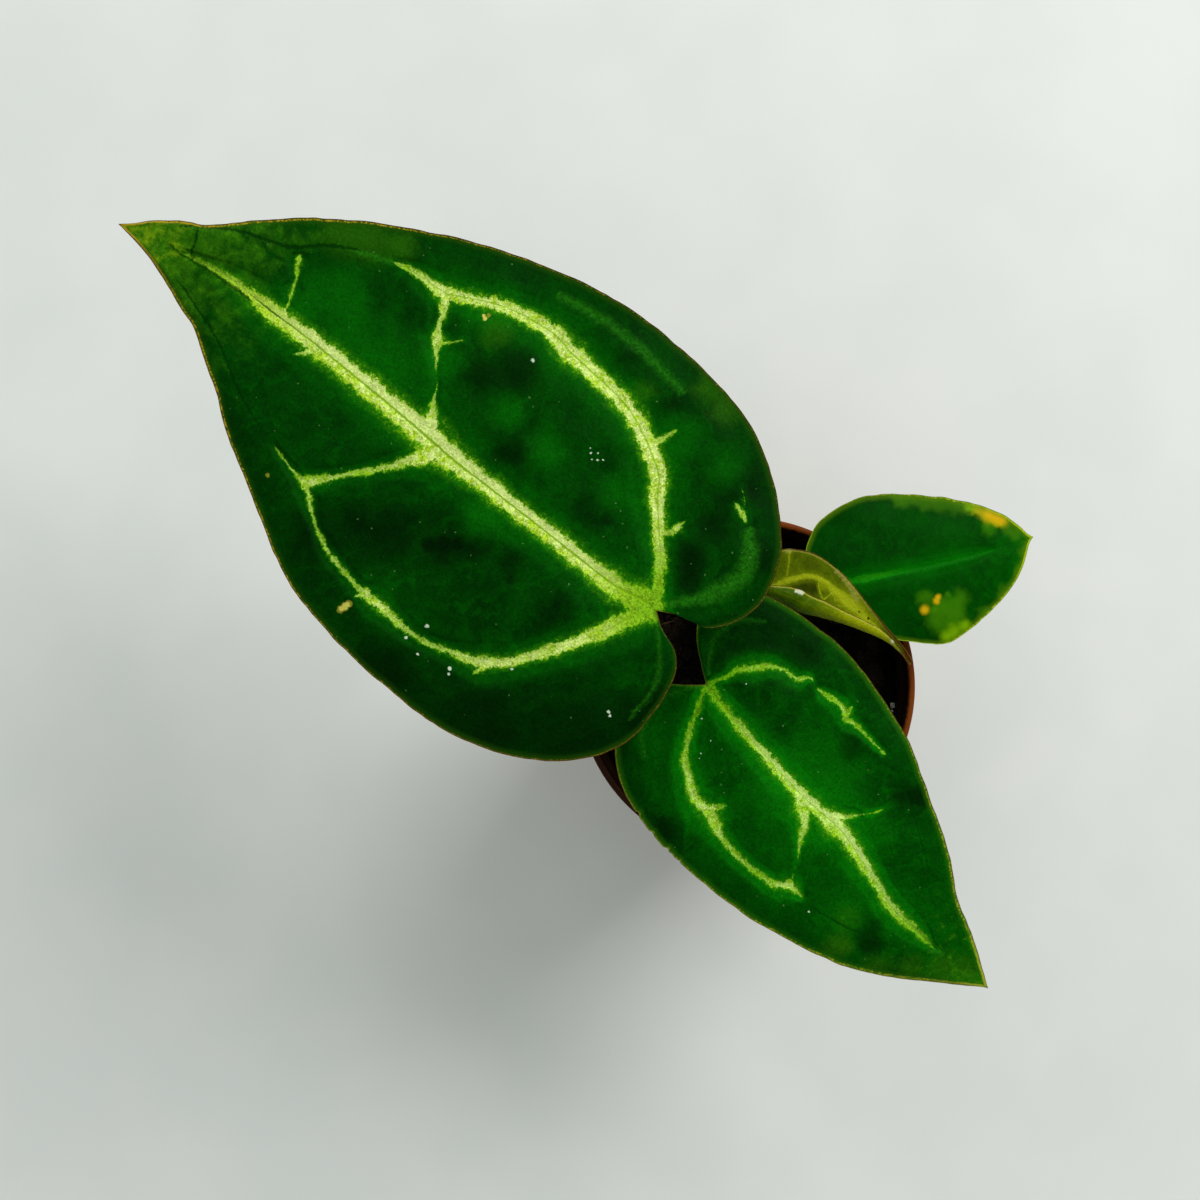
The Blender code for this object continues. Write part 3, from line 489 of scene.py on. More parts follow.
mediumLeaf = {
    "name": "leafMedium", "node": "blade_medium", "slot": "velvet_leaf", "joint": (-13.8, 2.9, 135),
    "heading": -47, "fan": 6.5, "halfWidth": 35, "lobe": 25, "tipDrop": 18, "lobeDrop": 3,
    "sideDrop": 4, "wave": 0.6, "waves": 5.5, "pucker": 0.6, "thickness": 0.55, "quilt": 0.7,
    "wrinkle": 0.25, "rows": 260, "columns": 140, "underColumns": 56,
    # the pale rim of this blade is its margin's colour and painted light on its lit edge
    "rimGlow": (0.03, 0.16, 0.003), "rimLine": (0.12, 0.11, 0.012), "rimPale": (0.32, 0.36, 0.02),
    "rimWidth": 0.72, "litSide": 1, "veinFade": (0.62, 0.84, 0.55), "coreFade": (0.6, 0.78, 0.1),
    "sideCore": -0.12, "shy": 1.5,
    "tones": {"lamina": (0.0006, 0.066, 0.0005), "deep": (0.0003, 0.036, 0.0005),
        "light": (0.001, 0.112, 0.0005), "tip": (0.0014, 0.092, 0.0005),
        "end": (0.014, 0.15, 0.002), "core": (0.72, 0.99, 0.25), "body": (0.38, 0.71, 0.022),
        "fringe": (0.1, 0.37, 0.003), "halo": (0.004, 0.29, 0.002), "halves": 0.72},
    "right": ((0, 0), (-3, -3.3), (-8, -8.5), (-10.1, -14.5), (-8.3, -20.8), (-2.5, -27.3),
        (6, -32), (17.5, -33.8), (31, -33.6), (47, -31), (61, -27.2), (74, -21.8), (84.5, -15.2),
        (93.5, -7.8), (103.28, 0)),
    "left": ((0, 0), (-4.4, 2.5), (-9, 5.5), (-12.6, 9.5), (-13.2, 15), (-10, 21.7), (-3, 26.2),
        (7, 28.8), (18.5, 30), (30, 29), (43, 26.5), (56, 21.6), (69, 16.2), (80, 9.8), (92, 5.3),
        (103.28, 0)),
    "rib": ((0, 0), (12, -0.9), (32, -1.4), (48, -0.2), (58, -1.6), (71, -3.9), (82, -3.2),
        (93, -2.2), (103.28, 0)),
    "layers": (
        ((0.95, ((0, 0, 0.9), (6, -0.6, 1.1), (15.5, -1.1, 1.3), (25, -1.2, 1.4),
            (33, -1.3, 1.5), (40, -0.9, 1.8), (46, -0.2, 2.4), (50, -0.3, 1.9),
            (56, -1.2, 1.5), (62, -2.4, 1.2), (66, -3, 1.1), (71.5, -3.9, 1.3), (79, -3.3, 1),
            (84, -3.1, 0.45), (87, -2.9, 0.1))),),
        ((0.85, ((0, 0, 0.7), (3, -5.5, 0.6), (7, -12.5, 0.8), (10.5, -16.5, 1),
            (13.5, -18, 1.1), (17, -20, 1.2), (20, -20.5, 1.5), (24, -20.5, 2), (29, -22, 1),
            (36, -22.5, 0.8), (43, -21.5, 0.8), (47, -20.5, 1), (49.5, -18.2, 1.3),
            (52, -18, 0.7), (55, -18, 0.05))),
         (0.68, ((0, 0, 0.4), (2, 5, 0.5), (2.8, 8, 0.9), (5, 11.3, 1.1), (7.3, 14.3, 0.9),
            (10.5, 16, 0.75), (14, 17, 0.7), (16, 19.3, 0.45), (18, 19, 0.12), (20, 19, 0.5),
            (24, 20, 0.7), (27, 20, 0.9), (29, 18.7, 0.6), (30.5, 19.3, 0.75),
            (33, 19.7, 0.5), (36.5, 19.9, 0.4), (41, 20.1, 0.3), (42.5, 20.1, 0.05)))),
        ((0.85, ((34, -1.2, 1.8), (37, -2.8, 2.2), (39, -4, 1.9), (41, -6, 1.2),
            (43, -9, 0.55), (45.5, -12, 0.2), (48.5, -16.5, 0.22))),
         (0.7, ((43.5, 0.5, 1.6), (46, 2.5, 0.9), (47.6, 4.6, 0.6), (49, 6.6, 0.1)))),
        ((0.8, ((22.5, -19.5, 1.3), (23.8, -17.5, 0.7), (25, -15.5, 0.05))),
         (0.7, ((28.5, 19.5, 1), (27.8, 22.5, 0.05))),
         (0.35, ((48.5, 6, 0.35), (50.5, 9, 0.32), (52.5, 14, 0.05))))),
    "nicks": ((11.8, 0.7, 0.5), (17.5, 0.45, 0.4), (22.8, 0.6, 0.5), (24.5, 0.5, 0.3),
        (27, 0.35, 0.4)),
    "bands": (
        (0.15, ((-1, -2, 1.4), (-3, -5, 1.8), (-4.5, -11, 2.2), (-2.5, -18, 2.2), (3, -23, 1.6))),
        (0.1, ((-1, 2, 1.4), (-4, 5, 1.8), (-7, 10, 2.2), (-6, 16, 2.2), (-1, 21, 1.6))),
        (0.6, ((60, -2.2, 1.6), (68, -3.4, 2), (76, -3.6, 2), (84, -3.1, 1.5), (89, -2.8, 0.8)))),
    "grooves": (
        (0.8, ((54, -18.5, 0.2), (64, -16, 0.35), (74, -12, 0.35), (84, -7.5, 0.1))),
        (0.7, ((42, 20, 0.15), (54, 16.5, 0.3), (66, 11, 0.3), (80, 4, 0.1)))),
    "spots": (
        ("dust", ((5.3, -6.3, 0.2), (11.2, -12.1, 0.2), (11.9, -13.1, 0.15), (6.4, 7.1, 0.16),
            (10.7, -8.3, 0.15), (57.4, -19.2, 0.22))),
        ("smoke", ((68.2, -20.8, 2.6), (69, -17.9, 2.2), (64.8, -13.3, 2.6), (79.9, -16.7, 3),
            (85.8, -10.8, 3), (91.6, -4.9, 3.2), (95.5, -0.4, 3))),
        # painted shade in the dark marks
        ("dark", ((70.1, -10.7, 3.2), (74, -13.7, 2.6), (52.8, 17.1, 3), (55.5, 19.8, 2.6),
            (36, 14.5, 2.8), (-4, -27, 4), (18, -31.5, 3.5), (11, 23, 4))),
        ("nick", ((12, -33.4, 0.5), (17.5, -33.9, 0.35), (24, -33.8, 0.3))),
        # painted shadow that the large leaf casts on this lobe
        ("dark", ((0, 17, 11),)),
        # painted light on the raised parts
        ("lit", ((28.5, 5.5, 5), (38.6, 8.1, 6), (42.7, -8.7, 6), (64, -12, 5), (52, 5, 5.5),
            (30, -8, 5)))),
}

smallLeaf = {
    "name": "leafSmall", "node": "blade_small", "slot": "young_leaf", "joint": (17.2, 25.9, 88),
    "heading": 13.3, "fan": 6, "halfWidth": 20, "lobe": 10, "tipDrop": 9, "lobeDrop": 1,
    "sideDrop": 2, "wave": 0.25, "waves": 3.5, "pucker": 0.2, "thickness": 0.6, "quilt": 0.15,
    "wrinkle": 0.08, "rows": 200, "columns": 100, "underColumns": 44, "rimGlow": (0.1, 0.22, 0.003),
    "rimLine": (0.24, 0.34, 0.015), "rimPale": (0.4, 0.5, 0.008), "rimWidth": 0.5, "litSide": 1,
    "veinFade": (0.24, 0.5, 0.05), "coreFade": (0.16, 0.42, 0), "sideCore": 0, "shy": 1.5,
    "tones": {},
    "right": ((0, 0), (0.9, -4.5), (5.5, -10.3), (14, -15.8), (24, -20.3), (31, -21.8),
        (38, -19.5), (46.5, -15), (52.8, -9.9), (56.6, -5), (58.4, -1.7), (59.98, 0)),
    "left": ((0, 0), (-1.3, 4), (-0.5, 9.5), (4, 16), (13, 20), (22, 20.2), (33, 17.5),
        (44, 13.2), (52, 8.6), (56.6, 4), (58.5, 1.4), (59.98, 0)),
    "rib": ((0, 0), (22, -0.5), (31, -1), (45, -0.3), (59.98, 0)),
    "layers": (
        ((0.9, ((0, 0, 1.2), (10, -0.2, 1.1), (20, -0.6, 1), (26, -0.8, 0.9), (33, -1, 0.85),
            (40, -1, 0.8), (46, -0.9, 0.5), (50, -0.6, 0.1))),),),
    "nicks": (), "bands": (), "grooves": (),
    "spots": (
        ("olive", ((26.5, 18.3, 1.8), (29.5, 17.6, 2.3), (33.5, 16.2, 2.6), (37.5, 14.8, 2.6),
            (42, 12.8, 2.4))),
        ("lime", ((45.5, 11.4, 1.8),)),
        ("fade", ((47, 10.6, 1.6), (49, 9, 2.2), (50.6, 7.6, 2.4), (51.4, 5.8, 1.6),
            (53, 5.6, 1.4))),
        ("rust", ((49.8, 8.6, 1.5), (51.3, 7, 1.5), (52.6, 6, 1))),
        ("blush", ((48.8, 4.6, 1.6),)),
        ("olive", ((53.5, 3.8, 1.5), (55.2, 1.8, 1.5), (57, -3, 1.8), (54.5, -8, 1.8),
            (49, -13, 2), (43, -17, 2.2))),
        ("blush", ((29, -14, 2.4), (31.5, -12, 2.2), (34, -13.5, 2.4), (30, -17, 2.6),
            (34.5, -16.5, 2.6))),
        ("lime", ((31, -20.2, 1.5), (33.4, -19.6, 1.9), (36.5, -18.6, 1.3))),
        ("blush", ((33.5, -9.5, 0.8), (29.2, -12.4, 0.9), (27.4, -9.3, 1.8), (36.6, -11.4, 2.2))),
        ("rust", ((26.6, -11.9, 1.05), (30.2, -10.4, 0.8), (30.9, -9.5, 0.65)))),
}


def ribAt(leaf, forward):
    # how far the midrib strays to the left of the straight line from joint to tip
    bend = smoothCurve(leaf["rib"], 200)
    return np.interp(forward, bend[:, 0], bend[:, 1])


def bladePlan(leaf, along, across, margins):
    # rows fan from points on the midrib to both margins: rib + |across| * (margin - rib)
    length = leaf["right"][-1][0]
    rib = leaf["fan"] + (length - leaf["fan"]) * along ** 2
    edge = np.abs(across)
    side = (across > 0)[None, :, None]
    margin = np.where(side, margins["left"][:, None, :], margins["right"][:, None, :])
    forward = rib[:, None] + edge[None, :] * (margin[:, :, 0] - rib[:, None])
    ribLeft = ribAt(leaf, rib)[:, None]
    left = ribLeft + edge[None, :] * (margin[:, :, 1] - ribLeft)
    middle = np.stack((rib, ribAt(leaf, rib)), 1)[:, None, :]
    return forward, left, np.linalg.norm(margin - middle, axis=2)


def veinField(forward, left, veins):
    # for each point the nearest vein of a layer: signed distance over half width, a lift that grows
    # where the vein is faint, thin or far, the signed distance and the half width in millimetres
    shape = forward.shape
    forward, left = forward.ravel(), left.ravel()
    best, thinnest = np.full(forward.size, 20.0), 0.28
    found = np.tile((3.0, 6.0, 9.0, 1.0), (forward.size, 1))        # where no vein is near
    for pale, route in veins:
        route = np.array(route, dtype=float)
        steps = max(24, int(2.5 * np.linalg.norm(np.diff(route[:, :2], axis=0), axis=1).sum()))
        line = smoothCurve(route, steps)
        ahead = np.gradient(line[:, :2], axis=0)
        pace = np.linalg.norm(ahead, axis=1, keepdims=True)
        slope = np.gradient(line[:, 2]) / pace[:, 0]
        ahead /= pace
        reach = 4.0 * line[:, 2].max() + 2.0
        low, high = line[:, :2].min(0) - reach, line[:, :2].max(0) + reach
        near = (forward > low[0]) & (forward < high[0]) & (left > low[1]) & (left < high[1])
        where = np.flatnonzero(near)
        for part in np.array_split(where, max(1, len(where) // 20000)):
            dx = forward[part, None] - line[None, :, 0]
            dy = left[part, None] - line[None, :, 1]
            pick = np.argmin(dx * dx + dy * dy, axis=1)
            rows = np.arange(len(part))
            dx, dy = dx[rows, pick], dy[rows, pick]
            away = ahead[pick, 0] * dy - ahead[pick, 1] * dx
            beyond = ahead[pick, 0] * dx + ahead[pick, 1] * dy
            past = np.where((pick == 0) | (pick == steps - 1), np.abs(beyond), 0.0)
            width = np.maximum(line[pick, 2] + beyond * slope[pick] * (past == 0), 0.02)
            drawn = np.maximum(width, thinnest)
            ratio = away / drawn
            lift = (1.0 - pale) + 4.0 * np.clip(1.0 - width / thinnest, 0, 1) + 2.0 * past
            lift += 2.0 * np.maximum(np.abs(ratio) - 3.0, 0)
            score = np.abs(ratio) + lift
            better = score < best[part]
            best[part[better]] = score[better]
            here = np.stack((np.clip(ratio, -4, 4), np.clip(lift, 0, 8), away, drawn), -1)
            found[part[better]] = here[better]
    return found.reshape(*shape, 4)


def bladeHeight(leaf, forward, left, edge, along):
    # droop of tip, lobes and sides, a waved edge, and rows of puckers, as the CAD blade has them
    length = leaf["right"][-1][0]
    fall = leaf["tipDrop"] * (np.maximum(forward, 0) / length) ** 2
    fall = fall + leaf["lobeDrop"] * (np.minimum(forward, 0) / leaf["lobe"]) ** 2
    fall = fall + leaf["sideDrop"] * (left / leaf["halfWidth"]) ** 2
    swing = 2 * np.pi * leaf["waves"] * along + np.where(left > 0, 0.0, 1.3)
    wave = leaf["wave"] * edge ** 3 * np.sin(swing) * np.sin(np.pi * along) ** 0.5
    beside = np.minimum(1, np.abs(left) / (0.18 * leaf["halfWidth"]))
    hills = np.sin(forward / (0.085 * length) + 0.6) * np.sin(left / (0.16 * leaf["halfWidth"]))
    return wave + leaf["pucker"] * beside * (1 - edge ** 4) * hills - fall


def veinDip(fields, power):
    # 1 on the line of a main vein, falling to 0 beside it, the faint ones less
    dip = np.zeros(fields[0].shape[:-1])
    for field in fields:
        dip = np.maximum(dip, np.exp(-(field[..., 0] / power) ** 2 - 0.9 * field[..., 1]))
    return dip


def bladeSurface(leaf, along, columns, margins, seed):
    # one face of the blade: plan, then height with quilting between the veins
    across = np.linspace(-1, 1, columns + 1)
    forward, left, span = bladePlan(leaf, along, across, margins)
    edge = np.broadcast_to(np.abs(across)[None, :], forward.shape)
    run = np.broadcast_to(along[:, None], forward.shape)
    veins = [veinField(forward, left, layer) for layer in leaf["layers"]]
    grooves = veinField(forward, left, leaf["grooves"])
    up = bladeHeight(leaf, forward, left, edge, run)
    nearest = np.min([np.abs(field[..., 2]) + 2.5 * field[..., 1] for field in veins[:3]], axis=0)
    inner = smoothStep(1.0, 0.82, edge)
    up += leaf["quilt"] * (1 - np.exp(-(nearest / 5.0) ** 2)) * inner - leaf["quilt"]
    up += leaf["wrinkle"] * inner * softNoise(forward / 7.0, left / 5.5, seed, 2)
    up += 0.35 * leaf["wrinkle"] * inner * softNoise(forward / 1.9, left / 1.6, seed + 1, 2)
    up -= 0.22 * veinDip(veins[:3], 0.9)
    up -= 0.12 * np.exp(-(veins[0][..., 2] / 0.35) ** 2 - veins[0][..., 1])
    up -= 0.12 * np.exp(-(grooves[..., 0]) ** 2 - grooves[..., 1])
    data = {f"vein{number}": field[..., 1:] for number, field in enumerate(veins)}
    data["groove"] = grooves[..., 1:]
    data["band"] = veinField(forward, left, leaf["bands"])[..., 1:]
    data["rimDistance"] = (1 - edge) * span
    data["plan"] = np.stack((forward, left, 0 * left), -1)
    return forward, left, up, data


def planToWorld(leaf, forward, left, up):
    # turn by the heading and move to the joint
    turn = math.radians(leaf["heading"])
    x, y, z = leaf["joint"]
    return np.stack((x + forward * math.cos(turn) - left * math.sin(turn),
                     y + forward * math.sin(turn) + left * math.cos(turn), z + up), -1)


def ribsUnder(leaf, forward, data):
    # how far the midrib and the main veins stand out below, the midrib less towards the tip
    length = leaf["right"][-1][0]
    lift, away = np.moveaxis(data["vein0"], -1, 0)[:2]
    ribs = 1.25 * np.exp(-(away / 1.15) ** 2 - lift) * np.clip(1.05 - forward / length, 0, 1)
    for key, tall in (("vein1", 0.75), ("vein2", 0.45)):
        if key in data:
            lift, away = np.moveaxis(data[key], -1, 0)[:2]
            ribs = np.maximum(ribs, tall * np.exp(-(away / 0.8) ** 2 - 1.2 * lift))
    return ribs * smoothStep(0, 2.0, data["rimDistance"])


def makeBlade(leaf, material, seed):
    # upper and lower faces share their rows, so they meet along both margins
    along = np.linspace(0, 1, leaf["rows"] + 1)
    travelled = along * 1.5 * leaf["right"][-1][0]          # a margin is longer than the blade
    margins = {}
    for number, side in enumerate(("right", "left")):
        line = smoothCurve(leaf[side], leaf["rows"] + 1)
        ahead = np.gradient(line, axis=0)
        ahead /= np.linalg.norm(ahead, axis=1, keepdims=True)
        ripple = 0.22 * softNoise(travelled / 4.0, 0 * travelled, seed + 5 + number, 2)
        ripple *= np.sin(np.pi * along) ** 0.3
        margins[side] = line + ripple[:, None] * np.stack((-ahead[:, 1], ahead[:, 0]), 1)
    for forward, depth, reach in leaf["nicks"]:
        bite = np.exp(-((margins["right"][:, 0] - forward) / reach) ** 2)
        margins["right"][:, 1] += depth * bite
    points, faces, grids, count = [], [], [], 0
    for under, columns in enumerate((leaf["columns"], leaf["underColumns"])):
        forward, left, up, data = bladeSurface(leaf, along, columns, margins, seed)
        data["under"] = 0 * left + under
        if under:
            thin = leaf["thickness"] * (0.4 + 0.6 * smoothStep(0, 3.0, data["rimDistance"]))
            up = up - thin - ribsUnder(leaf, forward, data)
        points.append(planToWorld(leaf, forward, left, up).reshape(-1, 3))
        faces.append({key: value.reshape(left.size, -1) for key, value in data.items()})
        ids = count + np.arange(left.size).reshape(left.shape)
        # weld the first row at the midrib, the last at the tip
        middle = columns // 2
        ids[0, middle + 1:] = ids[0, :middle][::-1]
        ids[-1, :] = ids[-1, middle]
        grids.append(ids)
        count += left.size
    top, bottom = grids
    walls = [gridTriangles(np.stack((top[:, side], bottom[:, side]), 1)[:, ::flip])
             for side, flip in ((0, 1), (-1, -1))]
    tris = np.concatenate((gridTriangles(top), gridTriangles(bottom)[:, ::-1], *walls))
    upper, lower = faces
    fields = {key: np.concatenate((upper[key], lower[key])).squeeze() for key in upper}
    blade = putMesh(leaf["name"], np.concatenate(points), tris, material, fields)
    settle(blade, leaf["slot"], leaf["node"])


# tones, then roughness and the strengths of the halo, the dust and the grain
bladeLooks = {
    "velvet": {"lamina": (0.0006, 0.045, 0.0005), "deep": (0.0003, 0.026, 0.0005),
        "light": (0.001, 0.08, 0.0005), "halo": (0.003, 0.19, 0.0016), "tip": (0.032, 0.158, 0.002),
        "end": (0.17, 0.31, 0.004), "ripe": (0.072, 0.255, 0.004), "glow": (0.04, 0.27, 0.002),
        "fringe": (0.13, 0.39, 0.0035), "body": (0.46, 0.71, 0.03), "core": (0.82, 0.99, 0.3),
        "speck": (0.16, 0.4, 0.1), "gap": (0.075, 0.215, 0.001), "crease": (0.22, 0.43, 0.004),
        "band": (0.016, 0.165, 0.004), "under": (0.06, 0.135, 0.028),
        "underRib": (0.19, 0.27, 0.08), "roughness": 0.45, "halves": 0.62, "dust": 1, "grit": 1},
    "young": {"lamina": (0.0006, 0.06, 0.0004), "deep": (0.0004, 0.04, 0.0004),
        "light": (0.001, 0.1, 0.0004), "halo": (0.0008, 0.15, 0.0005),
        "tip": (0.001, 0.095, 0.0005), "end": (0.004, 0.12, 0.0006), "ripe": (0.003, 0.13, 0.0006),
        "glow": (0.0012, 0.15, 0.0006), "fringe": (0.0016, 0.17, 0.0008),
        "body": (0.005, 0.225, 0.001), "core": (0.06, 0.33, 0.007), "speck": (0.16, 0.4, 0.1),
        "gap": (0.004, 0.2, 0.001), "crease": (0.01, 0.27, 0.002), "band": (0.001, 0.1, 0.001),
        "under": (0.05, 0.17, 0.02), "underRib": (0.14, 0.28, 0.05), "roughness": 0.36,
        "halves": 0.65, "dust": 0, "grit": 0.35},
}

# colour, how soft the edge is, how strong
spotLooks = {
    "scar": ((0.62, 0.58, 0.1), 0.5, 0.95), "scab": ((0.24, 0.26, 0.02), 0.5, 0.85),
    "dust": ((0.66, 0.8, 0.6), 0.7, 0.85), "nick": ((0.02, 0.012, 0.004), 0.4, 0.9),
    "rust": ((0.68, 0.42, 0.004), 1.5, 1), "blush": ((0.06, 0.25, 0.0015), 1.6, 0.5),
    "olive": ((0.052, 0.19, 0.002), 1.3, 0.6), "lime": ((0.22, 0.46, 0.001), 1.7, 0.8),
    # dark and the darkest marks after it are painted shade, and lit is painted light
    "fade": ((0.4, 0.37, 0.003), 1.4, 0.8), "dark": ((0.0003, 0.01, 0.0003), 1.5, 0.75),
    "wrinkleShadow": ((0.0003, 0.006, 0.0003), 1, 0.85), "lit": ((0.002, 0.13, 0.001), 1.6, 0.5),
    # gleam and sheen are painted highlights
    "gleam": ((0.84, 0.84, 0.62), 1.3, 0.8), "clear": ((0.3, 0.37, 0.003), 1, 0.7),
    "smoke": ((0.02, 0.115, 0.0012), 1.7, 0.6), "sheen": ((0.56, 0.5, 0.1), 1.4, 0.5),
    # painted shade in a hollow
    "hollowShade": ((0.028, 0.04, 0.0006), 1.3, 0.8),
}
underSpots = ("dark", "wrinkleShadow", "lit", "hollowShade", "smoke")        # marks that lie below the veins


def addSpots(bench, colour, plan, runs, under):
    # round marks below or above the veins, with edges that wander, those of wide marks further
    small = bench.vector("ADD", plan, bench.shift(1.3, 0.7, plan))
    wide = bench.vector("ADD", small, bench.shift(0.3, 4.0, plan))
    for kind, places in runs:
        if (kind in underSpots) != under:
            continue
        tone, soft, strength = spotLooks[kind]
        level = 4.0 if kind == "gleam" else 0.0         # painted highlights lie on a rolled edge
        for forward, left, radius in places:
            start = wide if radius > 1.5 else small
            far = bench.vector("DISTANCE", start, (forward, left, level))
            outer, inner = radius * (1 + 0.5 * soft), radius * max(0.0, 1 - 0.5 * soft)
            colour = bench.coat(colour, tone, far, outer, inner, strength)
    return colour


def nearestVein(bench, layers, rough, patch, shyness=0.0):
    # 1 at the edge of the nearest vein and 0 on its line: distance over half width, with the noise
    # counted in millimetres, plus the lift; how far off the veins are in millimetres; and how
    # pale the vein is here, the thin ones less
    cover, beside, pale = 9.0, 60.0, 0.0                    # no vein near
    for number in range(layers):
        lift, away, width = bench.lines(f"vein{number}")
        off = abs(away)
        here = off / width + rough / (width + 0.5) + lift
        cover = bench.math("MINIMUM", cover, here)
        shy = lift * 2.5 + bench.step(width, 0.5, 1.6, shyness, 0.0)
        beside = bench.math("MINIMUM", beside, off + shy)
        full = bench.step(width, 0.4, 1.8, 0.3, 1.0)
        pale = bench.math("MAXIMUM", pale, bench.step(here, 1.3, 1.0) * full)
    return cover + patch * 0.8, beside, pale


def bladeMaterial(name, leaf, looks):
    # mottled lamina with a halo by the veins; veins of pale grains in two bands, painted paler on
    # the lit side
    looks = {**looks, **leaf["tones"]}
    bench = Bench(name, looks)
    length, grit = leaf["right"][-1][0], looks["grit"]
    plan = bench.field("plan", "Vector")
    forward, left = bench.parts(plan)[:2]

    def along(low, high, toLow=0.0, toHigh=1.0, place=forward):
        # an S curve between two shares of the blade's length
        return bench.step(place, low * length, high * length, toLow, toHigh)

    # clouds of several sizes, and pale grains with gaps between them
    patch = bench.noise(0.17, 2.0, 0.5, 0.4, plan) - 0.5
    lumps = bench.noise(0.3, 2.0, 0.5, 0.8, plan) - 0.5
    ragged = bench.noise(0.85, 4.0, 0.68, 0.6, plan) - 0.5
    barbs = bench.noise(2.4, 3.0, 0.75, 0.4, plan) - 0.5
    large = bench.noise(0.045, 3.0, 0.55, 0.6, plan)
    medium = bench.noise(0.22, 4.0, 0.6, 0.5, plan)
    fine = bench.noise(1.3, 4.0, 0.65, 0.8, plan)
    crumpled = bench.vector("ADD", plan, bench.shift(1.6, 0.8, plan))
    grain = bench.parts(bench.cells(2.4, "F1", "Color", crumpled))
    gaps = bench.cells(2.4, "DISTANCE_TO_EDGE", "Distance", crumpled)
    rough = (ragged * 2.7 + barbs * 1.2 + (grain[0] - 0.5) * 0.6 + lumps * 2.6) * grit
    cover, beside, full = nearestVein(bench, len(leaf["layers"]), rough, patch, leaf["shy"])

    # lamina: patches, slanting streaks, a riper tip, painted shade along the border, marks, a halo
    # by the veins
    colour = bench.coats("deep", ("lamina", large, 0.36, 0.62), ("light", medium, 0.45, 0.8, 0.6),
        ("deep", medium, 0.42, 0.2, 0.5))
    fan = forward - abs(left) * 0.75 + medium * 14.0
    side = bench.math("SINE", fan * (2 * math.pi * 14.0 / length))
    colour = bench.coat(colour, "light", side, 0.72, 1.0, 0.25)
    slant = bench.node("ShaderNodeCombineXYZ", 0, ((0, fan * 0.42), (1, left * 0.13)))
    streak = bench.noise(1.0, 4.0, 0.6, 0.7, slant)
    colour = bench.coats(colour, ("light", streak, 0.52, 0.72, 0.4 * grit),
        ("deep", streak, 0.46, 0.3, 0.45 * grit))
    mottle = forward + ((medium - 0.5) * (0.4 * length) + ragged * (0.06 * length))
    colour = bench.mix(along(0.7, 0.94, 0.0, 0.85, mottle), colour, "tip")
    colour = bench.mix(along(0.9, 1.0, 0.0, 0.85, mottle), colour, "end")
    blotch = bench.noise(0.55, 4.0, 0.65, 0.6, plan)
    ripe = along(0.71, 0.93, 0.0, 0.4, mottle)
    colour = bench.mix(bench.step(blotch, 0.52, 0.68) * ripe, colour, "ripe")
    colour = bench.mix(bench.step(blotch, 0.46, 0.34) * ripe, colour, "lamina")
    rim = bench.field("rimDistance")
    # painted shade near the margin, fading out towards the tip
    shade = bench.step(rim, 9.0, 1.0) * along(0.85, 0.5)
    colour = bench.mix(shade * 0.4, colour, "deep")
    colour = addSpots(bench, colour, plan, leaf["spots"], True)
    halo = 0.8 ** (beside + ragged * 2.5) * looks["halves"]
    halo = halo * bench.step(medium, 0.2, 0.75, 0.7, 1.15) * along(0.56, 0.8, 1.0, 0.65)
    colour = bench.mix(halo, colour, "halo")
    band = bench.near("band", lumps * 2.0) + ragged
    band = bench.step(band, 1.6, 0.2, 0.0, 0.75) * bench.step(fine, 0.3, 0.65, 0.5, 1.0)
    colour = bench.mix(band, colour, "band")
    colour = bench.coat(colour, "glow", cover, 2.0, 1.0, 0.35)
    glitter = bench.step(grain[2], 0.0, 1.0, 1.0 - 0.1 * grit, 1.0 + 0.12 * grit)
    glitter = glitter * bench.step(fine, 0.3, 0.7, 1.0 - 0.18 * grit, 1.0 + 0.18 * grit)
    colour = bench.times(colour, glitter)

    # veins: stray grains, a fringe, the body, a channel down the middle and a paler core, its lit
    # side painted paler
    stray = bench.step(grain[0], 0.8, 0.88) * bench.step(cover, 1.9, 1.1, 0.0, 0.6)
    colour = bench.mix(stray, colour, "fringe")
    grains = bench.step(grain[2], 0.05, 0.85, 1.0 - 0.36 * grit, 1.0 + 0.2 * grit)
    fringe, body = bench.times("fringe", grains), bench.times("body", grains)
    start, end, least = leaf["veinFade"]
    fade = along(start, end, 1.0, least)
    colour = bench.coat(colour, fringe, cover, 1.14, 0.94, fade)
    joint = bench.vector("LENGTH", plan)
    body = bench.coat(body, fringe, joint, 19.0, 2.0, 0.75)
    colour = bench.coat(colour, body, cover, 0.98, 0.78, full * fade)
    lift, away, width = bench.lines("vein0")
    inRib = bench.step(abs(away) / width + lift, 1.5, 1.1)
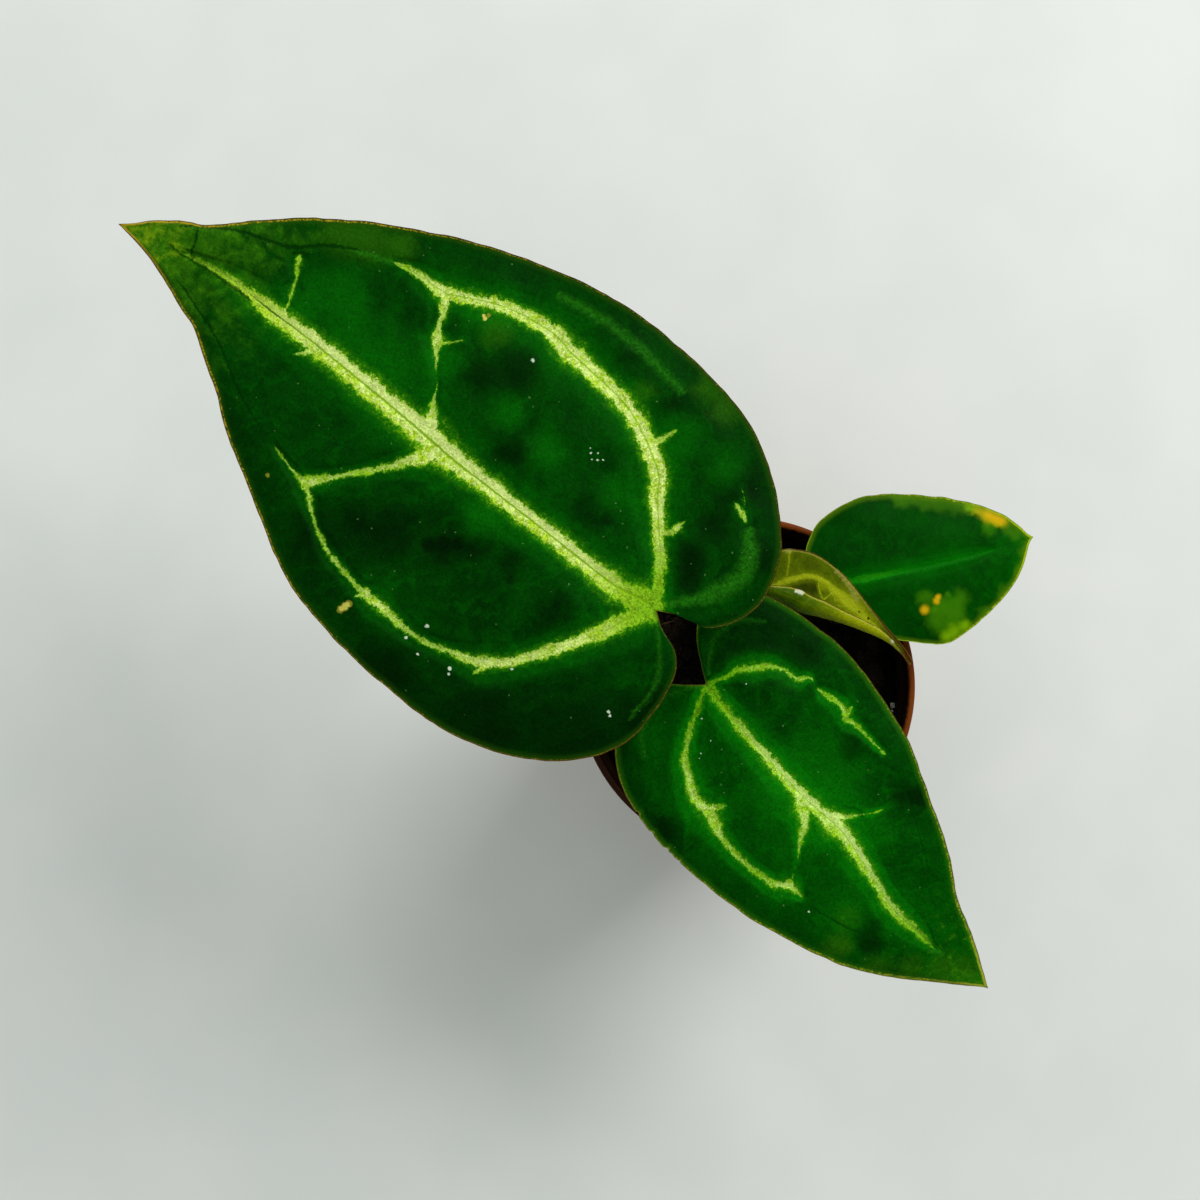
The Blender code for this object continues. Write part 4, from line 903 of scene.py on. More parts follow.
    # painted highlight: the half of the midrib that faces the key light is paler
    middle = 0.3 * leaf["litSide"]
    bright = inRib * bench.step(away / width, -middle, middle, -0.2, 0.4) + grain[1] * 0.62
    bright = bright + (lumps + ragged) * 1.8 + (1.0 - inRib) * leaf["sideCore"]
    start, end, least = leaf["coreFade"]
    young = bench.step(joint, 6.0, 24.0) * along(start, end, 1.0, least)
    bright = bench.step(bright, -0.05, 0.45, 0.0, young) * bench.step(cover, 0.95, 0.7, 0.0, full)
    line = 0.0
    for number, strength in enumerate((0.95, 0.75)[:len(leaf["layers"])]):
        lift, away, width = bench.lines(f"vein{number}")
        deep = bench.step(abs(away + ragged * 0.8) / width + lift, 0.15, 0.05, 0.0, strength)
        deep = deep * bench.step(width, 0.4 + 0.4 * number, 0.8 + 0.5 * number)
        line = bench.math("MAXIMUM", line, deep * along(0.005, 0.05))
    line = line * along(0.79, 0.73)
    crease = bench.mix(along(0.64, 0.74), "crease", "lamina")
    colour = bench.mix(line, colour, crease)
    pales = bench.step(grain[0], 0.1, 0.9, 1.0 - 0.22 * grit, 1.0 + 0.12 * grit)
    colour = bench.mix(bright * (1.0 - line), colour, bench.times("core", pales))
    net = bench.step(gaps, 0.14, 0.03) * bench.step(medium, 0.35, 0.65, 0.1, 0.5)
    nearJoint = bench.step(joint, 3.0, 18.0, 0.12, 1.0)
    net = net * bench.step(cover, 1.1, 0.9, 0.0, nearJoint)
    colour = bench.mix(net, colour, "gap")
    # painted shade along the folds
    cut = bench.near("groove", ragged * 1.8)
    colour = bench.coat(colour, "deep", cut, 1.3, 0.4, 0.8)
    colour = addSpots(bench, colour, plan, leaf["spots"], False)

    # specks of dust, a worn gold rim, the paler underside, and relief
    dust = bench.parts(bench.cells(0.5, "F1", "Color", plan))[0]
    speck = bench.step(dust, 0.8, 0.86) * bench.step(bench.cells(0.5, where=crumpled), 0.14, 0.04)
    colour = bench.mix(speck * (0.4 * looks["dust"]), colour, "speck")
    edge = rim + ragged * 0.5
    wide = along(0.2, 1.0, 0.6 * leaf["rimWidth"], 1.25 * leaf["rimWidth"])
    worn = barbs * 0.9 + fine * 0.9 + forward / (5.0 * length)
    colour = bench.coat(colour, leaf["rimGlow"], edge, 2.0, 0.5, 0.5)
    gold = bench.step(edge / wide, 1.15, 0.75) * bench.step(worn, 0.46, 0.62, 0.2, 1.0)
    beads = bench.math("MAXIMUM", bench.step(grain[0], 0.42, 0.58, 0.15, 1.0), along(0.82, 0.95))
    colour = bench.mix(gold * beads, colour, leaf["rimPale"])
    colour = bench.coat(colour, leaf["rimLine"], edge, 0.34, 0.16, 0.85)
    pale = bench.coat("under", "underRib", cover, 1.6, 0.5)
    pale = bench.times(pale, bench.step(medium, 0.2, 0.8, 0.8, 1.2))
    colour = bench.coat(colour, pale, bench.field("under"), 0.5, 0.95)
    pores = bench.bump(bench.cells(3.1, where=plan), 0.25, 0.1)
    relief = bench.bump(medium + fine * 0.4, 0.35, 0.5, pores)
    gloss = bench.step(medium, 0.25, 0.75, looks["roughness"] - 0.06, looks["roughness"] + 0.1)
    return bench.finish(colour, gloss, relief, 0.013)


makeBlade(largeLeaf, bladeMaterial("velvet_large", largeLeaf, bladeLooks["velvet"]), 11)
makeBlade(mediumLeaf, bladeMaterial("velvet_medium", mediumLeaf, bladeLooks["velvet"]), 23)
makeBlade(smallLeaf, bladeMaterial("young_small", smallLeaf, bladeLooks["young"]), 37)
print("blades made")


# The leaf that is still opening: one half lies open, the other curls up over the midrib

newLeaf = {
    "name": "leafNew", "node": "blade_new", "slot": "opening_leaf", "joint": (1.6, 25.5, 118),
    "heading": -27.4, "tipDrop": 13, "length": 42, "back": -5, "rows": 150, "columns": 130,
    "flatShare": 0.45, "thickness": 0.5,
    "openMargin": ((-5, 4), (-2.5, 9.3), (2, 12.2), (8, 13.5), (16, 12.2), (24, 9), (32, 5.8),
        (38, 3.6), (42, 1.6)),
    "rollOutside": ((-5, 0.5), (-2, -1), (4, -1), (10, -0.8), (15, 0.4), (22, 1.9), (32, 3),
        (38, 2.1), (42, 0.2)),
    "rollRadius": ((-5, 1.2), (0, 2.1), (8, 2.8), (14, 2.3), (20, 1.6), (30, 1.1), (42, 0.9)),
    "rollTurn": ((-5, 80), (0, 190), (5, 225), (30, 225), (37, 150), (42, 45)),
    "layers": (
        ((1, ((0, 1, 0.5), (1.6, 2, 0.7), (3, 3.8, 0.9), (5, 5.7, 0.9), (7.4, 7.7, 0.8),
            (10, 8.6, 0.8), (12.3, 8.6, 0.8), (14.1, 8.2, 1), (15.9, 7.7, 1.3),
            (18.1, 7.3, 1.7), (20.6, 6.9, 1.9), (23.4, 6.3, 1.5), (26.1, 5.3, 1),
            (30, 4.7, 0.5), (34, 4.2, 0.1))),),
        ((0.35, ((0.7, 11.4, 1.1), (2.1, 8.4, 0.5), (3.2, 5.2, 0.6))),
         (0.55, ((10.8, 8.4, 0.5), (11.3, 7, 0.4), (12.6, 5.5, 0.4), (13.9, 4.6, 0.35)))),
        ((0.6, ((13.9, 8.4, 0.6), (14.8, 7.5, 0.5), (14.9, 6.4, 0.4), (14.1, 4.8, 0.4))),
         (0.5, ((15.9, 7.5, 0.7), (16.6, 5.8, 0.3), (18.3, 5.1, 0.3), (20.3, 6.1, 0.7))))),
    "spots": (
        # painted shade in the hollow under the curled half
        ("hollowShade", ((6.5, 4.2, 1.8), (9.2, 5.4, 2), (11.3, 5.7, 1.6))),
        ("clear", ((12.3, 7.6, 1.2),)),
        # painted highlights: a golden sheen by the open margin and gleams on the rolled edge
        ("sheen", ((13.7, 12.2, 0.6), (15, 11.9, 0.6), (16.3, 11.4, 0.6), (17.6, 10.9, 0.65),
            (18.9, 10.2, 0.7), (20.2, 9.4, 0.7), (21.4, 8.5, 0.6), (0.6, 11.2, 0.7))),
        ("gleam", ((6.6, 3, 0.4), (7.3, 3.2, 0.5), (8, 3.3, 0.5), (34.6, 3.6, 0.45))),
        ("nick", ((26.3, 5.8, 0.35), (23.5, 6.1, 0.25)))),
    "looks": {"deep": (0.074, 0.12, 0.0008), "olive": (0.12, 0.175, 0.001),
        "pale": (0.31, 0.37, 0.004), "glow": (0.22, 0.29, 0.002), "vein": (0.5, 0.58, 0.012),
        "rollDeep": (0.044, 0.102, 0.0008), "rollOlive": (0.086, 0.156, 0.001),
        "rollStreak": (0.19, 0.24, 0.002), "rollPale": (0.37, 0.41, 0.003),
        "rim": (0.42, 0.42, 0.05), "rimLine": (0.13, 0.055, 0.008), "dryTip": (0.22, 0.085, 0.014)},
}


def newLeafSurface(leaf, along, across):
    # across runs over the open half to the trough, then round the roll: a circle of changing radius
    forward = (leaf["back"] + along * (leaf["length"] - leaf["back"]))[:, None]
    margin = smoothCurve(leaf["openMargin"], 200)
    outside = smoothCurve(leaf["rollOutside"], 200)
    openEdge = np.interp(forward, margin[:, 0], margin[:, 1])
    radius = np.interp(forward, *np.transpose(leaf["rollRadius"]))
    trough = np.interp(forward, outside[:, 0], outside[:, 1]) + radius
    turn = np.radians(np.interp(forward, *np.transpose(leaf["rollTurn"])))
    share = np.clip(1 - across / leaf["flatShare"], 0, 1)[None, :]
    rolled = np.clip((across - leaf["flatShare"]) / (1 - leaf["flatShare"]), 0, 1)[None, :]
    span = np.maximum(openEdge - trough, 0.3)
    curl = radius * (1 + 0.05 * softNoise(forward / 3.5, 3 * rolled, 91, 2) * rolled)
    left = trough + share * span - curl * np.sin(turn * rolled)
    up = 1.6 * share ** 2 + 0.35 * share * np.sin(forward / 2.6)
    up = up + curl * (1 - np.cos(turn * rolled))
    up = up - leaf["tipDrop"] * (np.maximum(forward, 0) / leaf["length"]) ** 1.5
    flat = np.broadcast_to(share * span, left.shape)
    up = up + 0.12 * smoothStep(0, 2, flat) * softNoise(forward / 3.0, flat / 2.0, 93, 2)
    forward = np.broadcast_to(forward, left.shape)
    return forward, left, up, share * span, (1 - rolled) * radius * turn


def newLeafMaterial(leaf):
    # a thin olive blade: pale arc of veins on the open half, plainer green round the roll
    bench = Bench("opening_leaf", leaf["looks"])
    plan = bench.field("plan", "Vector")
    forward = bench.parts(plan)[0]
    ragged = bench.noise(1.1, 4.0, 0.65, 0.5, plan) - 0.5
    soft = bench.noise(0.35, 3.0, 0.6, 0.4, plan)
    cover = nearestVein(bench, len(leaf["layers"]), ragged * 1.6, 0.0)[0]
    colour = bench.coats("deep", ("olive", soft, 0.3, 0.7), ("pale", forward, 13.0, 24.0, 0.75))
    # painted shade in the hollow, below the veins
    colour = addSpots(bench, colour, plan, leaf["spots"], True)
    colour = bench.coats(colour, ("glow", cover, 2.6, 0.9, 0.45), ("vein", cover, 1.2, 0.3, 0.75))
    streaks = bench.noise(1.0, 3.0, 0.6, 0.0, bench.stretch(0.25, 2.2, 1.0, plan))
    outside = bench.coats("rollDeep", ("rollOlive", soft, 0.35, 0.7),
        ("rollStreak", streaks, 0.45, 0.7, 0.5), ("rollPale", forward, 10.0, 26.0, 0.8))
    colour = bench.coat(colour, outside, bench.field("rolled"), 0.3, 0.6)
    edge = bench.field("rimDistance") + ragged * 0.5
    colour = bench.coats(colour, ("rim", edge, 0.75, 0.35, 0.7), ("rimLine", edge, 0.26, 0.12))
    # painted highlights laid over the veins
    colour = addSpots(bench, colour, plan, leaf["spots"], False)
    colour = bench.coat(colour, "dryTip", forward, 37.0, 40.0, 0.9)
    grain = bench.parts(bench.cells(2.4, "F1", "Color", plan))[0]
    colour = bench.times(colour, bench.step(grain, 0.0, 1.0, 0.88, 1.1))
    relief = bench.bump(soft + bench.cells(2.4, where=plan), 0.2, 0.25)
    return bench.finish(colour, bench.step(soft, 0.3, 0.7, 0.24, 0.36), relief, 0.03)


def makeNewLeaf(leaf):
    # two faces half a thickness either side of the surface, thinner towards both margins
    along, across = np.linspace(0, 1, leaf["rows"] + 1), np.linspace(0, 1, leaf["columns"] + 1)
    forward, left, up, flat, roll = newLeafSurface(leaf, along, across)
    middle = planToWorld(leaf, forward, left, up)
    rim = np.where(across < leaf["flatShare"], flat[:, :1] - flat, roll)
    rim = np.minimum(rim, (along * 99)[:, None] + 0.3)          # and thin at the hidden foot
    half = 0.5 * leaf["thickness"] * (0.45 + 0.55 * smoothStep(0, 2, rim))
    half = half[:, :, None] * sheetNormals(middle)
    points, tris = closedSheet(middle + half, middle - half)
    rolled = smoothStep(leaf["flatShare"] - 0.02, leaf["flatShare"] + 0.1, across)
    outOfWay = np.broadcast_to(4.0 * rolled, left.shape)        # keeps the veins off the roll
    data = {"plan": np.stack((forward, left, outOfWay), -1), "rimDistance": rim,
            "rolled": np.broadcast_to(across, left.shape)}
    for number, layer in enumerate(leaf["layers"]):
        field = veinField(forward, left, layer)
        field[:, :, 1] += outOfWay
        data[f"vein{number}"] = field[:, :, 1:]
    fields = {key: np.concatenate([value.reshape(left.size, -1).squeeze()] * 2)
              for key, value in data.items()}
    blade = putMesh(leaf["name"], points, tris, newLeafMaterial(leaf), fields)
    settle(blade, leaf["slot"], leaf["node"])


makeNewLeaf(newLeaf)


# Pot: a thin moulded cone with a collar, a rounded rim, a foot ring and drain holes

pot = {
    "height": 75, "rim": 45, "rimWidth": 1.8, "collar": 9, "collarStep": 2, "wall": 1.2,
    "base": 31.5, "footRound": 1, "footWidth": 3, "boss": 11, "recess": 2.2, "slope": 0.6,
    "sides": 180, "holes": 6, "holeRing": 19.5, "holeRadius": 3.2, "lineHeight": 30,
    # for the colours: growth of the radius with height, and the middle of the wall in the cone and
    # the collar as they would be at the foot, and under the rim
    "taper": 0.1742, "middles": (30.9, 32.1, 43.7),
    "looks": {"dark": (0.135, 0.026, 0.002), "light": (0.205, 0.046, 0.005),
        "ring": (0.23, 0.06, 0.009), "scuff": (0.36, 0.14, 0.055), "worn": (0.12, 0.03, 0.006),
        # the last two tones are painted shade: for the inner wall and for the lower left of the rim
        "tide": (0.3, 0.2, 0.13), "innerShadeTone": (0.006, 0.0035, 0.002),
        "rimShadeTone": (0.016, 0.006, 0.003)},
}


def potRadius(height):
    # outer radius of the cone below the collar
    collarFoot, top = pot["height"] - pot["collar"], pot["rim"] - pot["collarStep"]
    return pot["base"] + height / collarFoot * (top - pot["base"])


def softProfile(corners, steps=5):
    # a line through (radius, height, rounding) corners, each rounded by a short parabola
    corners = np.array(corners, dtype=float)
    line = [corners[0, :2]]
    for before, here, after in zip(corners[:-2], corners[1:-1], corners[2:]):
        inward, outward = before[:2] - here[:2], after[:2] - here[:2]
        reach = min(here[2], 0.45 * np.linalg.norm(inward), 0.45 * np.linalg.norm(outward))
        start = here[:2] + inward / np.linalg.norm(inward) * reach
        end = here[:2] + outward / np.linalg.norm(outward) * reach
        t = np.linspace(0, 1, steps)[:, None]
        line.extend((1 - t) ** 2 * start + 2 * t * (1 - t) * here[:2] + t ** 2 * end)
    line.append(corners[-1, :2])
    return np.array(line)


def latheRings(profile, sides):
    # a ring for each (radius, height) of the profile
    return roundAxis(profile[:, :1], turns(sides), profile[:, 1:])


def potMaterial():
    # terracotta plastic: faint rings, scuffs, painted shade inside and on the rim, a pale tide mark
    # at the foot
    bench = Bench("pot_plastic", pot["looks"])
    x, y, z = bench.parts(bench.place)
    away = bench.vector("LENGTH", bench.stretch(1.0, 1.0, 0.0))
    cloud = bench.noise(0.05, 4.0, 0.6)
    fine = bench.noise(0.9, 4.0, 0.65)
    rings = bench.noise(1.0, 2.0, 0.5, 0.0, bench.stretch(0.02, 0.02, 1.6))
    scuffs = bench.noise(0.35, 5.0, 0.7, 0.6, bench.stretch(1.0, 1.0, 1.3))
    colour = bench.coats("dark", ("light", cloud, 0.3, 0.7), ("ring", rings, 0.35, 0.7, 0.3),
        ("scuff", scuffs, 0.62, 0.76, 0.25), ("worn", scuffs, 0.38, 0.24, 0.35),
        ("tide", z + (fine - 0.5) * 7.0, 6.0, 1.0, 0.45))
    top, floorTop = pot["height"], pot["recess"] + pot["wall"]
    collarFoot = top - pot["collar"]
    cone, collar, rim = pot["middles"]
    wall = z * pot["taper"] + bench.step(z, collarFoot - 0.1, collarFoot + 0.1, cone, collar)
    wall = away - bench.math("MINIMUM", wall, rim)                  # below 0 inside the pot
    inside = bench.step(wall, 0.1, -0.3) * bench.step(z, floorTop - 0.2, floorTop)
    raggedHeight = z + (fine - 0.5) * 4.0
    # painted shade on the inner wall, near black from just under the rim down to the soil
    innerWallShade = inside * bench.step(raggedHeight, top + 0.6, top - 1.0, 0.0, 0.97)
    colour = bench.mix(innerWallShade, colour, "innerShadeTone")
    # painted shade on the lower left of the rim, the side away from the key light
    rimShade = bench.step(x * -0.8 + y * -0.6, 32.0, 41.0)
    rimShade = rimShade * bench.step(raggedHeight, top - 2.5, top - 0.5, 0.0, 0.9)
    colour = bench.mix(rimShade, colour, "rimShadeTone")                    # painted shade over the rim
    relief = bench.bump(rings * 0.3 + fine * 0.35, 0.2, 0.25)
    return bench.finish(colour, bench.step(scuffs, 0.3, 0.7, 0.36, 0.55), relief, 0.06)


def makePot():
    # the outline from the middle of the floor up inside, over the rim, down outside and under the
    # foot to the middle again, turned round; then holes drilled through the floor
    rim, top, recess, boss = pot["rim"], pot["height"], pot["recess"], pot["boss"]
    collarFoot, rimInside, line = top - pot["collar"], rim - pot["rimWidth"], pot["lineHeight"]
    floorTop = recess + pot["wall"]
    footInside = pot["base"] - pot["footRound"] - pot["footWidth"]
    corners = (
        (0, floorTop, 0), (potRadius(floorTop) - pot["wall"] - 0.3, floorTop, 2.2),
        (potRadius(collarFoot) - pot["wall"], collarFoot + 0.3, 1.0),
        (rimInside, collarFoot + 2.0, 1.0), (rimInside, top - 0.45, 0.25),
        (rimInside + 0.5, top, 0.5), (rim - 0.5, top, 0.5),
        (rim, top - 0.5, 0.5), (rim - 0.1, top - 2.2, 0.3),
        (rim - 0.35, top - 2.5, 0.2), (rim - 0.5, collarFoot + 0.5, 0.5),
        (rim - 0.95, collarFoot, 0.3), (potRadius(collarFoot), collarFoot, 0.5),
        *((potRadius(line + rise) - deep, line + rise, 0.2)
          for rise, deep in ((0.4, 0), (0.0, 0.25), (-0.4, 0))),
        (potRadius(0) - 0.02, 0, pot["footRound"]),
        (footInside, 0, 0.4), (footInside - pot["slope"], recess, 0.5),
        (boss + pot["slope"], recess, 0.5), (boss, 0, 0.4),
        (3.0, 0, 0.2), (2.7, 0.35, 0.2), (1.4, 0.35, 0.2), (1.1, 0.1, 0.2), (0, 0.1, 0))
    points, tris = wrappedGrid(latheRings(softProfile(corners), pot["sides"]))
    shell = putMesh("potShell", points, tris, potMaterial())
    cutters, hole = [], pot["holeRadius"]
    drill = latheRings(np.array(((0, -1), (hole + 0.35, -1), (hole + 0.35, recess - 0.05),
                                 (hole, recess + 0.3), (hole, 9), (0, 9)), dtype=float), 40)
    for number in range(pot["holes"]):
        turn = 2 * math.pi * number / pot["holes"]
        rings = drill + np.array((math.cos(turn), math.sin(turn), 0)) * pot["holeRing"]
        points, tris = wrappedGrid(rings)
        cutter = putMesh(f"drain{number}", points, tris, shell.data.materials[0])
        cut = shell.modifiers.new(cutter.name, "BOOLEAN")
        cut.operation, cut.solver, cut.object = "DIFFERENCE", "EXACT", cutter
        cutters.append(cutter)
    bpy.context.view_layer.update()
    drilledShell = shell.evaluated_get(bpy.context.evaluated_depsgraph_get())
    drilled = bpy.data.meshes.new_from_object(drilledShell)
    shell.modifiers.clear()
    shell.data = drilled
    drilled.shade_smooth()
    drilled.set_sharp_from_angle(angle=math.radians(38))
    for cutter in cutters:
        bpy.data.objects.remove(cutter)
    settle(shell, "pot_plastic", "pot")


makePot()


# Soil: a lumpy bed, with bark, crumbs, fibres and a few white grains lying on it

soil = {
    "top": 66, "foot": 3.7, "radius": 41.2, "rings": 150, "sectors": 380, "wallGap": 2.7,
    "stemAt": (-4, 19), "stemClear": 7.5,
    # how many lie within which radius, then half sizes of the bark, lengths and radii of the fibres
    "bark": (190, 38), "crumbs": (620, 40.2), "perlite": (16, 39), "fibres": (120, 35),
    "barkSize": ((1.3, 3.6), (0.9, 2), (0.35, 0.8)), "crumbSize": (0.35, 1),
    "grainSize": (0.4, 0.95), "fibreLength": (4, 12), "fibreRadius": (0.09, 0.2),
    # the white grains that show: x, y and half size
    "grains": ((40.4, -5.6, 0.9), (40, -8.6, 0.75), (40.3, -7.2, 0.5)),
    # dark, light and fibre colours of each material, then dark and light of the white grains
    "looks": {
        "potting_mix": ((0.0018, 0.0014, 0.0011), (0.0075, 0.005, 0.0032),
                        (0.018, 0.0115, 0.0065)),
        "bark_chip": ((0.003, 0.0021, 0.0015), (0.012, 0.0076, 0.0044), (0.03, 0.0195, 0.0115)),
        "peat_crumb": ((0.002, 0.0015, 0.0012), (0.008, 0.0053, 0.0034), (0.02, 0.013, 0.0075)),
        "coir": ((0.014, 0.008, 0.004), (0.07, 0.04, 0.018), (0.11, 0.07, 0.035)),
        "perlite": ((0.3, 0.29, 0.26), (0.66, 0.66, 0.62))},
}


def crumbBumps(x, y, size, seed):
    # distance to the nearest of a lattice's shaken points, turned into round crumbs
    table = np.random.default_rng(seed).uniform(0, 1, (64, 64, 3))
    u, v = x / size, y / size
    iu, iv = np.floor(u).astype(int), np.floor(v).astype(int)
    nearest, tall = np.full(u.shape, 9.0), np.zeros(u.shape)
    for a in (-1, 0, 1):
        for b in (-1, 0, 1):
            shake = table[(iu + a) % 64, (iv + b) % 64]
            far = np.hypot(iu + a + shake[..., 0] - u, iv + b + shake[..., 1] - v)
            closer = far < nearest
            nearest, tall = np.where(closer, far, nearest), np.where(closer, shake[..., 2], tall)
    return (0.35 + 0.65 * tall) * np.sqrt(np.maximum(0, 1 - (nearest / 0.75) ** 2))


def soilHeight(x, y):
    # rolling lumps, a low mound at the stem, a dip at the wall and two sizes of crumbs
    reach = np.hypot(x, y) / soil["radius"]
    mound = 0.5 * np.exp(-(np.hypot(x - soil["stemAt"][0], y - soil["stemAt"][1]) / 14.0) ** 2)
    lumps = 1.2 * softNoise(x / 7.0, y / 7.0, 3) + 0.4 * softNoise(x / 3.0, y / 3.0, 4)
    crumbs = 0.75 * crumbBumps(x, y, 2.4, 5) + 0.45 * crumbBumps(x, y, 1.1, 6)
    return soil["top"] - 0.55 + mound - reach ** 6 + lumps + crumbs * smoothStep(1.0, 0.97, reach)


def soilMaterial(name):
    # damp peat: near black between the crumbs, browner on top of them, threads of coir
    bench = Bench(name, dict(zip(("dark", "light", "fibre"), soil["looks"][name])))
    fine = bench.noise(1.6, 5.0, 0.7)
    grit = bench.parts(bench.cells(1.9, "F1", "Color"))[0]
    threads = bench.noise(0.8, 3.0, 0.6, 2.5, bench.stretch(1.0, 4.0, 1.0))
    colour = bench.coats("dark", ("light", bench.field("tint") * 0.75 + fine * 0.5, 0.15, 0.95),
        ("dark", bench.noise(0.12, 3.0, 0.6), 0.4, 0.7, 0.5), ("fibre", grit, 0.86, 0.9, 0.4),
        ("fibre", threads, 0.66, 0.7, 0.4))
    relief = bench.bump(fine + threads, 0.7, 0.5)
    return bench.finish(colour, bench.step(fine, 0.3, 0.7, 0.6, 0.85), relief, 0.05)


def makeSoilBed(material):
    # rings out to the wall with lumps, then down along the wall of the pot and in to the middle
    share = np.concatenate((np.linspace(0, 1, soil["rings"] + 1), np.linspace(0.995, 0.8, 14),
                            (0.4, 0)))
    turn = turns(soil["sectors"])[None, :]
    x = soil["radius"] * share[:, None] * np.cos(turn)
    y = soil["radius"] * share[:, None] * np.sin(turn)
    z = soilHeight(x, y)
    below = soil["rings"] + 1
    depth = np.concatenate((np.linspace(0.02, 1, 14), (1, 1)))[:, None]
    footRadius = potRadius(soil["foot"]) - soil["wallGap"]
    radius = soil["radius"] + depth * (footRadius - soil["radius"])
    radius = radius * np.concatenate((np.ones(14), (0.5, 0)))[:, None]
    x[below:], y[below:] = radius * np.cos(turn), radius * np.sin(turn)
    z[below:] = z[below - 1] + depth * (soil["foot"] - z[below - 1])
    points, tris = wrappedGrid(np.stack((x, y, z), -1))
    tint = np.clip(0.5 + 0.5 * (z - soil["top"]), 0, 1).ravel()
    settle(putMesh("pottingSoil", points, tris, material, {"tint": tint}), "potting_mix", "soil")


def scatterLumps(name, material, seed, places, sizes, tilt, around, rings, squareness, rise):
    # one rough pebble repeated: its own size, turn, tilt and dents each time
    dice = np.random.default_rng(seed)
    count = len(places)
    polar = np.linspace(0, np.pi, rings + 1)[:, None]
    ball = roundAxis(np.sin(polar), turns(around), np.cos(polar))
    ball = np.sign(ball) * np.abs(ball) ** squareness
    base, tris = wrappedGrid(ball)
    dents = 1 + dice.uniform(-0.22, 0.22, (count, len(base), 1))
    body = base[None] * sizes[:, None, :] * dents
    yaw, lean = dice.uniform(0, 2 * np.pi, count), dice.normal(0, tilt, count)
    for angle, a, b in ((lean, 2, 0), (yaw, 0, 1)):     # lean from z to x, then turn from x to y
        c, s = np.cos(angle)[:, None], np.sin(angle)[:, None]
        one, other = body[..., a], body[..., b]
        body[..., a], body[..., b] = c * one - s * other, s * one + c * other
    ground = soilHeight(places[:, 0], places[:, 1]) + rise * sizes[:, 2]
    body += np.column_stack((places, ground))[:, None, :]
    tris = copyTriangles(tris, len(base), count)
    tint = np.repeat(dice.uniform(0, 1, count), len(base))
    lumps = putMesh(name, body.reshape(-1, 3), tris, material, {"tint": tint}, smooth=False)
    settle(lumps, "potting_mix")


def scatterPlaces(seed, count, reach):
    # even chance over the disc, keeping clear of the stem
    dice = np.random.default_rng(seed)
    radius = reach * np.sqrt(dice.uniform(0, 1, 3 * count))
    turn = dice.uniform(0, 2 * np.pi, 3 * count)
    places = roundAxis(radius, turn, 0)[:, :2]
    clear = np.linalg.norm(places - np.array(soil["stemAt"]), axis=1) > soil["stemClear"]
    return places[clear][:count]


def makeTopping():
    # flat bark chips, small crumbs, and white grains at the rim and here and there
    dice = np.random.default_rng(71)
    bark, crumb = soilMaterial("bark_chip"), soilMaterial("peat_crumb")
    places = scatterPlaces(72, *soil["bark"])
    sizes = np.column_stack([dice.uniform(*span, len(places)) for span in soil["barkSize"]])
    scatterLumps("barkChips", bark, 73, places, sizes, 0.3, 9, 6, 0.55, 0.5)
    places = scatterPlaces(74, *soil["crumbs"])
    sizes = dice.uniform(*soil["crumbSize"], (len(places), 1))
    sizes = sizes * dice.uniform(0.7, 1.2, (len(places), 3))
    scatterLumps("peatCrumbs", crumb, 75, places, sizes, 0.6, 6, 4, 0.9, 0.4)
    bench = Bench("perlite", dict(zip(("dark", "light"), soil["looks"]["perlite"])))
    fine = bench.noise(2.2, 4.0, 0.7)
    colour = bench.coat("dark", "light", fine, 0.3, 0.65)
    white = bench.finish(colour, 0.8, bench.bump(fine, 0.6, 0.4), 0.2)
    grains = np.array(soil["grains"])
    more = scatterPlaces(76, *soil["perlite"])
    places = np.concatenate((grains[:, :2], more))
    sizes = np.concatenate((grains[:, 2:], dice.uniform(*soil["grainSize"], (len(more), 1))))
    sizes = sizes * dice.uniform(0.75, 1.1, (len(places), 3))
    scatterLumps("perliteGrains", white, 77, places, sizes, 0.8, 9, 6, 0.85, 0.5)


def bundleTubes(paths, reach, hint):
    # many tubes at once, all with as many stations: rings set square to each path, closed at both
    # ends; reach is the radius for each path, station and side
    ahead = np.gradient(paths, axis=1)
    ahead /= np.linalg.norm(ahead, axis=2, keepdims=True)
    across = np.cross(ahead, np.array(hint))
    across /= np.linalg.norm(across, axis=2, keepdims=True)
    upward = np.cross(ahead, across)
    sides = reach.shape[2]
    turn = turns(sides)[:, None]
    out = np.cos(turn) * across[:, :, None] + np.sin(turn) * upward[:, :, None]
    rings = paths[:, :, None] + reach[..., None] * out
    ends = [np.repeat(paths[:, end, None, None], sides, 2) for end in (0, -1)]
    rings = np.concatenate((ends[0], rings, ends[1]), 1)
    single = rings.shape[1] * sides
    tris = copyTriangles(wrappedGrid(rings[0])[1], single, len(paths))
    return rings.reshape(-1, 3), tris, single


